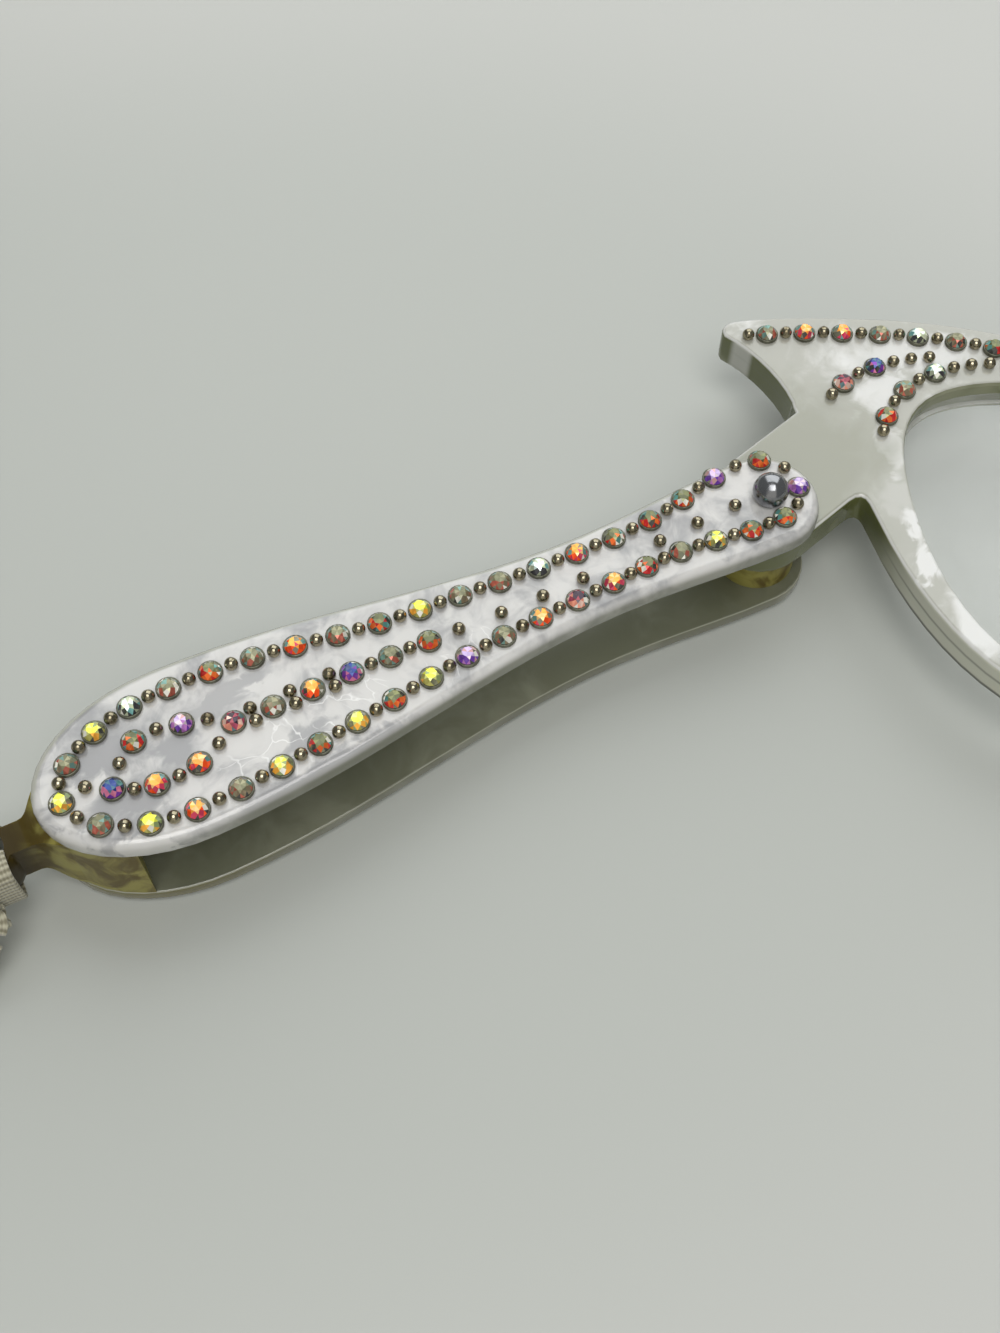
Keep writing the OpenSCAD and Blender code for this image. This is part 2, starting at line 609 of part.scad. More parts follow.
// A spray is a path with a list of what sits on it: 1 is a stone and 0 is a stud.
wing_spray = [for (v = [[4, 2], [6.6, 5.6], [10.6, 6.9], [15.8, 7.2]]) armpit + front_unit * v];
wing_kinds = [0, 1, 0, 1, 0, 0, 0];
lens_kinds = [0, 1, 0, 1, 0, 1, 0, 0, 0, 0];
stone_step = stone_pitch * 0.5244;
function ring_path() =
    let (up = [for (i = [3.6:17.6]) let (t = i / 18) bezier(backwards(temple_curve), t)
            + lens_margin * outward(backwards(temple_curve), t)],
         on = [for (i = [1:12]) let (t = i / 18) bezier(backwards(head_curve), t)
            + lens_margin * outward(backwards(head_curve), t)])
    concat(up, on);
lens_path = ring_path();
wing_path = [for (i = [0:12]) bezier(wing_spray, i / 12)];
function spray(path, kinds, kind) =
    let (l = lengths(path), s = [for (i = 0, d = 0; i < len(kinds);
            d = d + (i + 1 < len(kinds) && kinds[i] + kinds[i + 1] > 0 ? stone_step : stone_step * 0.93),
            i = i + 1) d])
    [for (i = [0:len(kinds) - 1]) if (kinds[i] == kind && s[i] < l[len(l) - 1]) point_at(path, l, s[i])];

module front_stones() {
    translate([0, 0, frame_t])
        stones(concat(brow_points(0, brow_n), spray(wing_path, wing_kinds, 1), spray(lens_path, lens_kinds, 1)));
}

module front_studs() {
    translate([0, 0, frame_t])
        studs(concat(brow_points(-0.5, 1), brow_points(0.5, brow_n - 1), spray(wing_path, wing_kinds, 0),
            spray(lens_path, lens_kinds, 0)));
}

module near_stones() {
    near() front_stones();
}

module near_studs() {
    near() front_studs();
}

module far_stones() {
    far() front_stones();
}

module far_studs() {
    far() front_studs();
}

// Each hinge leaf carries every second knuckle; first is the index of its first one.
module hinge_leaf(first) {
    difference() {
        union() {
            translate([bridge_x - hinge_reach, hinge_y0, 0])
                cube([hinge_reach - knuckle_r - 0.1, hinge_h, hinge_t]);
            for (i = [first:2:knuckles - 1]) {
                translate([bridge_x - knuckle_r - 0.2, hinge_y0 + i * knuckle_h + 0.03, 0])
                    cube([knuckle_r + 0.2, knuckle_h - 0.06, hinge_t]);
                hinge_place() translate([0, 0, i * knuckle_h + 0.03])
                    cylinder(h = knuckle_h - 0.06, r = knuckle_r, $fn = 48);
            }
        }
        translate([0, -1, 0]) hinge_place() cylinder(h = hinge_h + 4, r = hinge_pin_r + run, $fn = 32);
        for (p = rivet_at) translate([p.x, p.y, -1]) cylinder(h = hinge_t + 2, r = rivet_r + slip, $fn = 24);
    }
}

module near_hinge_leaf() {
    color(steel) near() hinge_leaf(0);
}

module far_hinge_leaf() {
    color(steel) far() hinge_leaf(1);
}

module rivets() {
    for (p = rivet_at) translate([p.x, p.y, 0]) cylinder(h = rivet_h, r = rivet_r, $fn = 24);
}

module near_hinge_rivets() {
    color(brass) near() rivets();
}

module far_hinge_rivets() {
    color(brass) far() rivets();
}

module hinge_pin() {
    color(steel) near() translate([0, -0.1, 0]) hinge_place() cylinder(h = hinge_h + 0.2, r = hinge_pin_r, $fn = 32);
}

// The ribbon is looped through the eyelet and knotted. It falls to the table, and the rest is
// wound into a round coil that stands on the ribbon's edge. Its way is drawn for the ring's place at
// x = -82.4, and moves away with the ring.
loop_in = eyelet_hole_r * 0.4;
loop_out = ring_r + 0.25;
loop_h = neck_t + 0.4;
loop_w = ribbon_w;
knot_r = 1.6;
knot_at = [ring_x - 1.2, -(loop_out + ribbon_t + 1.2), slot_mid - 0.9];
away = ring_x + 82.4;
ribbon_way = [[-84.9, -5.9, 4.6, 0], [-85.6, -6.3, 4.1, 0], [-86.4, -6.7, 3.5, 0], [-87.2, -7.1, 2.8, 0],
    [-88.1, -7.5, 2, 0], [-89.1, -8, 1.3, 0], [-90.2, -8.6, 0.75, 0], [-91.5, -9.4, 0.42, 0],
    [-93, -10.5, 0.35, 3], [-94.6, -11.9, 0.5, 12], [-96.3, -13.4, 0.85, 27], [-98.1, -14.8, 1.35, 45],
    [-100.1, -16.1, 1.8, 63], [-102.3, -17.2, 2.05, 79], [-104.6, -17.8, 2.1, 88], [-107, -18, 2.1, 90]];
ribbon_route = [for (r = ribbon_way) [r[0] + away, r[1], r[2], r[3]]];
coil_at = [away - 111, 6];
coil_r = 24;
ribbon_z = ribbon_w / 2 + 0.1;
steps_a_turn = 24;

// Cross-section of the ribbon: half width along w, half thickness along n, about the point p.
function section(p, w, n) =
    let (a = ribbon_w / 2, b = ribbon_t / 2,
         s = [[a, 0], [a - 0.1, b], [0.1 - a, b], [-a, 0], [0.1 - a, -b], [a - 0.1, -b]])
    [for (q = s) p + q.x * w + q.y * n];
function route_ring(r, i) =
    let (k = len(r) - 1, p = [r[i].x, r[i].y, r[i].z], a = r[max(i - 1, 0)], b = r[min(i + 1, k)],
         d = i == k ? [-1, 0, 0] : unit([b.x - a.x, b.y - a.y, b.z - a.z]),
         flat = unit(cross([0, 0, 1], d)), up = cross(d, flat),
         w = cos(r[i][3]) * flat + sin(r[i][3]) * up)
    section(p, w, cross(w, d));
function coil_radius(a) = coil_r - coil_pitch * a / 360;
function coil_point(a) = [coil_at.x - coil_radius(a) * sin(a), coil_at.y - coil_radius(a) * cos(a), ribbon_z];
function coil_dir(a) = unit(coil_point(a + 0.5) - coil_point(a - 0.5));
coil_end = coil_point(360 * coil_turns);
coil_tail = let (d = coil_dir(360 * coil_turns), t = turned([d.x, d.y], -22, [0, 0])) [t.x, t.y, 0];
function coil_path() = concat([[away - 107, -18, ribbon_z]],
    [for (i = [0:coil_turns * steps_a_turn]) coil_point(i * 360 / steps_a_turn)],
    [coil_end + 2.5 * coil_tail, coil_end + (2.5 + ribbon_w) * coil_tail]);
coil_points = coil_path();
coil_last = len(coil_points) - 1;
coil_out = unit(coil_points[coil_last] - coil_points[coil_last - 1]);
function coil_ring(i) =
    let (d = i == 0 ? [-1, 0, 0] : i == coil_last ? coil_out
        : unit(coil_points[i + 1] - coil_points[i - 1]))
    section(coil_points[i], [0, 0, 1], cross([0, 0, 1], d));
coil_gap = min([for (i = [0:coil_last - steps_a_turn], j = [i + steps_a_turn - 3:min(i + steps_a_turn + 3, coil_last)])
    norm(coil_points[i] - coil_points[j])]) - ribbon_t;
echo(least_gap_of_the_coil_to_itself = coil_gap);
echo(stones_round_the_handle = edge_count, path = edge_total);

module ribbon_loop() {
    color(cloth) translate([ring_x - loop_w / 2, 0, slot_mid - loop_h / 2]) rotate([90, 0, 90])
        linear_extrude(loop_w) difference() {
            polygon(loop_outline(ribbon_t));
            polygon(loop_outline(0));
        }
}

function loop_outline(g) =
    let (a = -loop_out - g, b = -loop_in + g, c = -g, d = loop_h + g, r = 0.5 + g)
    [[a + r, c], [b - r, c], [b - r * 0.3, c + r * 0.3], [b, c + r], [b, d - r], [b - r * 0.3, d - r * 0.3],
     [b - r, d], [a + r, d], [a + r * 0.3, d - r * 0.3], [a, d - r], [a, c + r], [a + r * 0.3, c + r * 0.3]];

module ribbon_knot() {
    flat_at = -(loop_out + ribbon_t) - knot_at.y;
    color(cloth) translate(knot_at) rotate([-90, 0, 0]) difference() {
        sphere(r = knot_r, $fn = 32);
        translate([-3, -3, flat_at]) cube([6, 6, 6]);
    }
}

module ribbon() {
    color(cloth) loft([for (i = [0:len(ribbon_route) - 1]) route_ring(ribbon_route, i)]);
}

module ribbon_coil() {
    color(cloth) loft([for (i = [0:coil_last]) coil_ring(i)]);
}

module ribbon_end_knot() {
    color(cloth) translate(coil_points[coil_last]) rotate([0, 0, atan2(coil_out.y, coil_out.x)])
        rotate([0, 90, 0]) translate([0, 0, 1.2]) difference() {
            sphere(r = ribbon_w / 2, $fn = 32);
            translate([-3, -3, -7.2]) cube([6, 6, 6]);
        }
}

front_leaf();
back_leaf();
end_spacer();
pivot_pin();
pivot_ball();
pivot_boss();
front_washer();
rear_washer();
handle_edge_stones();
handle_inner_stones();
handle_edge_studs();
handle_inner_studs();
near_rim();
near_lens();
near_stones();
near_studs();
near_hinge_leaf();
near_hinge_rivets();
hinge_pin();
far_rim();
far_lens();
far_stones();
far_studs();
far_hinge_leaf();
far_hinge_rivets();
ribbon_loop();
ribbon_knot();
ribbon();
ribbon_coil();
ribbon_end_knot();
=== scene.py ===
"""Looks for a folding lorgnette: pearl acetate, rainbow stones, metal studs and a ribbon.

Sizes are in millimetres in the row frame, and turn into metres where a mesh is made.
"""

from __future__ import annotations

import functools
import logging
import math
import random
from dataclasses import dataclass
from enum import Enum, auto
from typing import Iterable, Sequence, Union

import bmesh
import bpy
from mathutils import Matrix, Vector

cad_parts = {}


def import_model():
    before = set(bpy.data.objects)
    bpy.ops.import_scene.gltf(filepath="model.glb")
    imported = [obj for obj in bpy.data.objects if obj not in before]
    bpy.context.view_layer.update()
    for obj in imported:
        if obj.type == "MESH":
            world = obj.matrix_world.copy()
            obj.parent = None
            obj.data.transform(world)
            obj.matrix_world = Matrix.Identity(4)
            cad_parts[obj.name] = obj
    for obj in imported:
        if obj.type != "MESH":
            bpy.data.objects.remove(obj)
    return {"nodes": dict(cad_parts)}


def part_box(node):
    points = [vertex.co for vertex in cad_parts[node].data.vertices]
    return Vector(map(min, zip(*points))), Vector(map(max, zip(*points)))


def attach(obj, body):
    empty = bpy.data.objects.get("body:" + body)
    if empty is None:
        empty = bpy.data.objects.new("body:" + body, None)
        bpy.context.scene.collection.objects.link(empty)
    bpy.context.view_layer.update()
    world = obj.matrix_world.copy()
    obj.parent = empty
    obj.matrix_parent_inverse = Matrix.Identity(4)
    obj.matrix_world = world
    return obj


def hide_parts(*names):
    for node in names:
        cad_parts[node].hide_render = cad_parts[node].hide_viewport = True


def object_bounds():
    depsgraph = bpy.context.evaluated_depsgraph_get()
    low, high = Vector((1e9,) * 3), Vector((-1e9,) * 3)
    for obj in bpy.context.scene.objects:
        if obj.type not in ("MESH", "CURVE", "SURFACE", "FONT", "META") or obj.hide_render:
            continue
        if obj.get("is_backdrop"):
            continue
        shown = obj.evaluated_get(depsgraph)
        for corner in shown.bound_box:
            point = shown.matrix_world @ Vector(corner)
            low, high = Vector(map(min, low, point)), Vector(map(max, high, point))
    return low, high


LOG = logging.getLogger("lorgnette")
MM = 0.001
FACET_LAYER = "facet"
Triple = tuple[float, float, float]
Colour = Triple
Place = Triple
Pair = tuple[float, float]
Piece = bpy.types.Object
Nodes = dict[str, Piece]
Shape = bmesh.types.BMesh
Ring = list[bmesh.types.BMVert]
Term = Union["Value", float]
Entry = Union["Value", float, Sequence[float]]


# Shader maths.


class Value:
    """A shader socket that takes part in arithmetic."""

    def __init__(self, shader: Shader, socket: bpy.types.NodeSocket) -> None:
        """Wraps an output of one of a shader's nodes."""
        self.shader = shader
        self.socket = socket

    def _math(self, operation: str, *terms: Term) -> Value:
        """Returns the terms joined by a Math node."""
        return self.shader.node("Math", *terms, operation=operation)

    def __add__(self, other: Term) -> Value:
        """Returns the sum."""
        return self._math("ADD", self, other)

    __radd__ = __add__

    def __sub__(self, other: Term) -> Value:
        """Returns the difference."""
        return self._math("SUBTRACT", self, other)

    def __rsub__(self, other: float) -> Value:
        """Returns the difference from a number."""
        return self._math("SUBTRACT", other, self)

    def __mul__(self, other: Term) -> Value:
        """Returns the product."""
        return self._math("MULTIPLY", self, other)

    __rmul__ = __mul__

    def __truediv__(self, other: Term) -> Value:
        """Returns the quotient."""
        return self._math("DIVIDE", self, other)

    def __pow__(self, other: Term) -> Value:
        """Returns the power."""
        return self._math("POWER", self, other)

    def size(self) -> Value:
        """Returns the value without its sign."""
        return self._math("ABSOLUTE", self)

    def wave(self) -> Value:
        """Returns the value's sine, moved into 0 to 1."""
        return self._math("SINE", self) * 0.5 + 0.5

    def smooth(self, low: float, high: float) -> Value:
        """Returns 0 below low, 1 above high, and a smooth step between them."""
        return self.shader.node("MapRange", self, low, high, 0.0, 1.0,
                                interpolation_type="SMOOTHSTEP")


class Shader:
    """A node material on one Principled shader."""

    MIX_INPUTS = (0, 6, 7)
    MIX_OUTPUT = 2

    def __init__(self, name: str) -> None:
        """Starts a material.

        Args:
            name: Its name.
        """
        self.material = bpy.data.materials.new(name)
        self.material.use_nodes = True
        self.tree = self.material.node_tree
        self.surface = self.tree.nodes["Principled BSDF"]

    def node(self, kind: str, *inputs: Entry, out: int | str = 0, at: Sequence[int] = (),
             **props: str | Entry) -> Value:
        """Adds any node.

        Args:
            kind: The node's type, without its first word ShaderNode.
            inputs: What goes into its first sockets, in order.
            out: The output to return, by place or name.
            at: The places of the sockets that take the inputs, where they aren't the first ones.
            props: The node's properties. A key that starts with `in_` is an input, by name.

        Returns:
            The output.
        """
        node = self.tree.nodes.new(f"ShaderNode{kind}")
        named = {k: v for k, v in props.items() if k.startswith("in_")}
        for key, value in props.items():
            if key not in named:
                setattr(node, key, value)
        for socket, value in zip([node.inputs[k] for k in at] or node.inputs, inputs):
            self.feed(socket, value)
        for key, value in named.items():
            self.feed(node.inputs[key[3:].replace("_", " ")], value)
        return Value(self, node.outputs[out])

    def feed(self, socket: bpy.types.NodeSocket, value: Entry) -> None:
        """Links or sets a socket.

        Args:
            socket: The input.
            value: What goes into it.
        """
        if isinstance(value, Value):
            self.tree.links.new(value.socket, socket)
        else:
            socket.default_value = value

    def set(self, **inputs: Entry) -> None:
        """Sets inputs of the Principled shader, by name with underscores for spaces."""
        for key, value in inputs.items():
            self.feed(self.surface.inputs[key.replace("_", " ")], value)

    @functools.cached_property
    def place(self) -> Value:
        """Returns the place in the row frame, in millimetres."""
        coords = self.node("TexCoord", out="Object")
        return self.node("VectorMath", coords, (1 / MM,) * 3, operation="MULTIPLY")

    @functools.cached_property
    def parts(self) -> tuple[Value, Value, Value]:
        """Returns the place's three parts."""
        return self.split(self.place)

    def split(self, vector: Value) -> tuple[Value, Value, Value]:
        """Returns a vector's three parts."""
        parts = self.node("SeparateXYZ", vector)
        return tuple(Value(self, socket) for socket in parts.socket.node.outputs)

    def noise(self, place: Value, scale: float, detail: float = 2.0, warp: float = 0.0) -> Value:
        """Makes noise.

        Args:
            place: The place in millimetres.
            scale: Its cycles a millimetre.
            detail: Its finer layers.
            warp: Its distortion.

        Returns:
            The noise, from 0 to 1.
        """
        return self.node("TexNoise", in_Vector=place, in_Scale=scale, in_Detail=detail,
                         in_Distortion=warp)

    def drift(self, place: Value, scale: float, reach: float) -> Value:
        """Moves a place by noise.

        Args:
            place: The place in millimetres.
            scale: The noise's cycles a millimetre.
            reach: How far it moves at most, in millimetres.

        Returns:
            The moved place.
        """
        way = self.node("TexNoise", in_Vector=place, in_Scale=scale, out="Color")
        return self.node("VectorMath", way, (reach,) * 3, place, operation="MULTIPLY_ADD")

    def blend(self, amount: Term, low: Value | Colour, high: Value | Colour) -> Value:
        """Mixes two colours.

        Args:
            amount: 0 for the first colour and 1 for the second.
            low: The first colour.
            high: The second colour.

        Returns:
            The mixed colour.
        """
        ends = (end if isinstance(end, Value) else (*end, 1.0) for end in (low, high))
        return self.node("Mix", amount, *ends, at=self.MIX_INPUTS, out=self.MIX_OUTPUT,
                         data_type="RGBA")

    def bump(self, height: Value, depth: float, strength: float) -> Value:
        """Bumps the surface.

        Args:
            height: Its height, from 0 to 1.
            depth: What a height of 1 is, in millimetres.
            strength: How much of it shows.

        Returns:
            The bumped normal.
        """
        return self.node("Bump", in_Strength=strength, in_Distance=depth * MM, in_Height=height)


# Finishes.


@dataclass(frozen=True)
class Spot:
    """A soft patch: its middle, half sizes, turn in degrees, and shade from 0 to 1."""

    x: float
    y: float
    half_x: float
    half_y: float
    turn: float = 0.0
    shade: float = 1.0

    BORDER = (0.35, 1.5)

    def mask(self, x: Value, y: Value) -> Value:
        """Finds how much a place belongs to the patch.

        Args:
            x: The place along X.
            y: The place along Y.

        Returns:
            1 in the middle and 0 outside.
        """
        c, s = math.cos(math.radians(self.turn)), math.sin(math.radians(self.turn))
        dx, dy = x - self.x, y - self.y
        across = (dx * c + dy * s) / self.half_x
        up = (dy * c - dx * s) / self.half_y
        return 1 - (across * across + up * up).smooth(*self.BORDER)


@dataclass(frozen=True)
class Pearl:
    """Marbled pearl acetate on a clear olive base sheet, which shows in the walls."""

    name: str
    light: Colour
    shade: Colour
    wall: Colour
    wall_light: Colour
    # The marbling: clouds a millimetre, place in the noise, and darkness.
    patch: float
    seed: float
    bias: float = 0.0
    # How much base sheet the walls show, and its changes: start, length and amount.
    wall_share: float = 1.0
    wall_steps: tuple[Triple, ...] = ()
    # The painted highlight on the rounding between face and wall, and its colour;
    # the painted shade of that rounding on the far side.
    edge_highlight_share: float = 0.5
    edge_highlight_colour: Colour | None = None
    far_side_shade: Colour | None = None
    tip: Colour | None = None
    spots: tuple[Spot, ...] = ()
    crease_highlights: tuple[Spot, ...] = ()
    wall_spots: tuple[Spot, ...] = ()
    # The bare sheet round the pivot, the lower rim's walls and their seam, and the face below.
    plain: Colour | None = None
    plain_reach: float = 1.0
    rim: Colour | None = None
    seam: float = 0.0
    behind: Colour | None = None

    SLOT = "pearl"

    # Steps in the surface's direction, from 0 on a wall to 1 on a face.
    FACE_UP = (0.84, 0.998)
    FACE_DOWN = (0.1, 0.6)
    FACE_AWAY = (0.02, 0.2)
    OFF_WALL = (0.25, 0.88)
    EDGE_FROM = (0.4, 0.65)
    EDGE_TO = (0.8, 0.97)

    # The marbling: each layer's share, what is taken off, and the step to the dark colour.
    CELLS, VEIL, STREAK = 0.75, 0.7, 0.45
    LEVEL = 0.44
    DARKEN = (0.2, 0.62)
    CLOUD_SHADE = 0.78

    # How far the layers push the borders of the patches and of the bare sheet.
    VEIL_PUSH, STREAK_PUSH_X, STREAK_PUSH_Y = 6.0, 3.0, 4.0
    PLAIN_PUSH = 9.0
    PLAIN_BELOW, PLAIN_DROP = (-1.0, 4.0), 6.0
    PLAIN_FADE = 1.8
    # The painted highlight on crumpled lines: its near-white colour and its width.
    CREASE_HIGHLIGHT = (1.0, 1.0, 0.99)
    CREASE_HIGHLIGHT_WIDTH = 0.045

    # The walls: the tip, the lower rim, and the dark lines along it.
    TIP_END, TIP_FADE = -68.0, 16.0
    LOWER_RIM = (6.0, 15.0)
    SEAM_LINE = (0.03, 0.3)
    FOOT_DEPTH, FOOT_FADE = 1.8, 0.35
    LINE_SHADE = 0.22

    def paint(self, s: Shader) -> None:
        """Sets the shader's inputs.

        Args:
            s: The shader.
        """
        _, away, facing = s.split(s.node("TexCoord", out="Normal"))
        up = facing.size()
        face = self._face(s)
        # Faces that look down take the pearl colour below; the others keep their own, which on the
        # back leaf is the painted shade of the slot.
        if self.behind:
            cloud = s.noise(s.place, scale=self.patch * 1.3, detail=4.0, warp=1.2)
            dark = tuple(self.CLOUD_SHADE * c for c in self.behind)
            behind = s.blend(cloud.smooth(0.35, 0.65), self.behind, dark)
            face = s.blend((-1 * facing).smooth(*self.FACE_DOWN), face, behind)
        # Painted shade: the rounding that faces away turns a darker olive.
        if self.far_side_shade:
            far = (1 - up.smooth(*self.FACE_UP)) * away.smooth(*self.FACE_AWAY)
            face = s.blend(far, face, self.far_side_shade)
        share = self.wall_share
        for start, reach, change in self.wall_steps:
            share = (s.parts[0] - start).smooth(0.0, reach) * change + share
        amount = (1 - up.smooth(*self.OFF_WALL)) * share
        sheet = s.blend(amount, face, self._wall(s))
        # Painted highlight: a paler band on the rounding between face and wall.
        edge = up.smooth(*self.EDGE_FROM) * (1 - up.smooth(*self.EDGE_TO)) * self.edge_highlight_share
        s.set(
            Base_Color=s.blend(edge, sheet, self.edge_highlight_colour or self.light),
            Roughness=0.17 + s.noise(s.place, scale=1.4, detail=3.0) * 0.09,
            Normal=s.bump(s.noise(s.place, scale=0.16, detail=1.0), depth=0.25, strength=0.5),
            Coat_Weight=0.35 + up * 0.4,
            Coat_Roughness=0.06,
            Subsurface_Weight=0.12,
            Subsurface_Radius=(1.2, 1.1, 0.9),
            Subsurface_Scale=0.0012,
        )

    def _face(self, s: Shader) -> Value:
        """Marbles the face: clouds, veils, streaks, set patches and painted highlights on crumpled
        lines.

        Args:
            s: The shader.

        Returns:
            The face's colour.
        """
        x, y, _ = s.parts
        start = (self.seed, self.seed * 0.7, 0)
        bent = s.drift(s.node("VectorMath", s.place, start, operation="ADD"), 0.09, reach=7.0)
        cells = s.node("TexVoronoi", in_Vector=bent, in_Scale=self.patch, feature="SMOOTH_F1")
        veil = s.noise(bent, scale=self.patch * 1.6, detail=4.0, warp=1.2)
        streak = s.noise(bent, scale=self.patch * 4.5, detail=3.0, warp=0.6)
        layers = cells * self.CELLS + veil * self.VEIL + streak * self.STREAK
        cloud = (layers - self.LEVEL + self.bias).smooth(*self.DARKEN)
        near_x = x + (veil - 0.5) * self.VEIL_PUSH + (streak - 0.5) * self.STREAK_PUSH_X
        near_y = y + (streak - 0.5) * self.STREAK_PUSH_Y
        for spot in self.spots:
            cloud = cloud + spot.mask(near_x, near_y) * (spot.shade - cloud)
        face = s.blend(cloud, self.light, self.shade)
        # Painted highlight: near-white crumpled lines where the pearl catches the light.
        for spot in self.crease_highlights:
            line = self._highlight_lines(s, bent) * spot.mask(near_x, near_y) * spot.shade
            face = s.blend(line, face, self.CREASE_HIGHLIGHT)
        if self.plain:
            below = (-1 * y).smooth(*self.PLAIN_BELOW) * self.PLAIN_DROP
            reach = (x * x + y * y) ** 0.5 + (veil - 0.5) * self.PLAIN_PUSH + below
            marbled = reach.smooth(self.plain_reach, self.plain_reach * self.PLAIN_FADE)
            face = s.blend(marbled, self.plain, face)
        return face

    def _highlight_lines(self, s: Shader, bent: Value) -> Value:
        """Makes broken, crumpled lines, along which highlights are painted.

        Args:
            s: The shader.
            bent: The drifted place.

        Returns:
            1 on a line and 0 off it.
        """
        crumpled = s.drift(bent, scale=0.5, reach=2.6)
        border = s.node("TexVoronoi", in_Vector=crumpled, in_Scale=0.4, feature="DISTANCE_TO_EDGE")
        whole = s.noise(crumpled, scale=0.45).smooth(0.34, 0.5)
        return (1 - border.smooth(0.0, self.CREASE_HIGHLIGHT_WIDTH)) * whole

    def _wall(self, s: Shader) -> Value:
        """Colours the base sheet: light patches, a paler rim, a seam and a dark lower edge.

        Args:
            s: The shader.

        Returns:
            The walls' colour.
        """
        x, y, z = s.parts
        pale = s.noise(s.place, scale=0.13).smooth(0.5, 0.68)
        wall = s.blend(pale, self.wall, self.wall_light)
        if self.tip:
            wall = s.blend((x - self.TIP_END).smooth(0.0, self.TIP_FADE), self.tip, wall)
        for spot in self.wall_spots:
            wall = s.blend(spot.mask(x, y) * spot.shade, wall, self.light)
        if self.rim:
            lower = (-1 * y).smooth(*self.LOWER_RIM)
            wall = s.blend(lower, wall, self.rim)
            clear = (z - self.seam).size().smooth(*self.SEAM_LINE) * 0.6 + 0.4
            foot = (z - self.seam + self.FOOT_DEPTH).smooth(0.0, self.FOOT_FADE)
            line = (1 - clear * foot) * (lower * 0.85 + 0.15)
            wall = s.blend(line, wall, tuple(self.LINE_SHADE * c for c in self.rim))
        return wall


@dataclass(frozen=True)
class Amber:
    """Clear olive acetate, light in its thick part, with painted shade that darkens its narrow end.
    """

    name: str
    light: Colour
    deep: Colour
    neck_shade: Colour

    SLOT = "amber"
    NECK_END, NECK_FADE = -79.6, 3.8

    def paint(self, s: Shader) -> None:
        """Sets the shader's inputs.

        Args:
            s: The shader.
        """
        cloud = s.noise(s.place, scale=0.22, detail=3.0, warp=1.5).smooth(0.38, 0.62)
        # Painted shade: past x -79.6 the narrow end turns almost black.
        thick = (s.parts[0] - self.NECK_END).smooth(0.0, self.NECK_FADE)
        s.set(
            Base_Color=s.blend(thick, self.neck_shade, s.blend(cloud, self.light, self.deep)),
            Roughness=0.3 + s.noise(s.place, scale=1.5) * 0.12,
            IOR=1.3,
            Coat_Weight=0.06,
            Coat_Roughness=0.2,
            Subsurface_Weight=0.2,
            Subsurface_Radius=(1.4, 1.2, 0.5),
            Subsurface_Scale=0.001,
            Normal=s.bump(s.noise(s.place, scale=0.3), depth=0.2, strength=0.4),
        )


@dataclass(frozen=True)
class Metal:
    """A polished metal with patches of tarnish, whose grain is in cycles a millimetre."""

    name: str
    colour: Colour
    tarnish: Colour
    rough: float
    grain: float
    metallic: float = 1.0

    def paint(self, s: Shader) -> None:
        """Sets the shader's inputs.

        Args:
            s: The shader.
        """
        stain = s.noise(s.place, scale=self.grain, detail=3.0, warp=0.8).smooth(0.42, 0.72)
        s.set(
            Base_Color=s.blend(stain, self.colour, self.tarnish),
            Metallic=self.metallic,
            Roughness=self.rough + stain * 0.16,
            Normal=s.bump(s.noise(s.place, scale=self.grain * 2.2), depth=0.03, strength=0.5),
        )


@dataclass(frozen=True)
class Lens:
    """A clear lens that shows its reflections and a little of its own tint."""

    name: str
    tint: Colour

    SLOT = "lens"

    def paint(self, s: Shader) -> None:
        """Sets the shader's inputs.

        Args:
            s: The shader.
        """
        smear = s.noise(s.place, scale=0.12, detail=3.0, warp=1.0)
        s.set(
            Base_Color=(*self.tint, 1.0),
            Roughness=0.03 + smear * 0.05,
            Alpha=0.13 + smear.smooth(0.4, 0.8) * 0.05,
            IOR=1.5,
            Coat_Weight=0.4,
            Coat_Roughness=0.03,
        )


@dataclass(frozen=True)
class Crystal:
    """Foil-backed crystal under a little dust, with painted rainbow flash and a faint painted glow.
    """

    name: str
    dust: Colour

    SLOT = "crystal"

    def paint(self, s: Shader) -> None:
        """Sets the shader's inputs.

        Args:
            s: The shader.
        """
        facet = s.node("VertexColor", layer_name=FACET_LAYER)
        haze = s.noise(s.place, scale=2.2, warp=1.0)
        s.set(
            Base_Color=s.blend(haze.smooth(0.5, 0.8) * 0.12, facet, self.dust),
            Metallic=0.5,
            Roughness=0.12 + haze * 0.08,
            Coat_Weight=0.35,
            Coat_Roughness=0.03,
            # Painted glow: the facets give off a little of their own colour.
            Emission_Color=facet,
            Emission_Strength=0.3,
        )


@dataclass(frozen=True)
class Weave:
    """Ribbed ribbon cloth. U runs across the ribbon and V along it, in millimetres."""

    name: str
    light: Colour
    dark: Colour
    rib: float

    SLOT = "ribbon"
    WARP_SHARE = 0.6
    SEAM = (1.55, 1.8)

    def paint(self, s: Shader) -> None:
        """Sets the shader's inputs.

        Args:
            s: The shader.
        """
        u, v, _ = s.split(s.node("TexCoord", out="UV"))
        ribs = (v * (math.tau / self.rib)).wave()
        warp = (u * (math.tau / (self.rib * self.WARP_SHARE))).wave()
        seam = u.size().smooth(*self.SEAM)
        wear = s.noise(s.place, scale=0.9, detail=3.0)
        # Painted shade: the colour is lighter on the ribs and the warp and darker between them,
        # where the relief sinks; the wear noise adds random tone.
        tone = (ribs * 0.55 + warp * 0.2 + wear * 0.45).smooth(0.2, 1.0)
        height = ribs * (0.4 + 0.6 * warp) + seam * 0.8
        s.set(
            Base_Color=s.blend(tone, self.dark, self.light),
            Roughness=0.72 + wear * 0.2,
            Sheen_Weight=0.4,
            Normal=s.bump(height, depth=0.12, strength=0.9),
        )


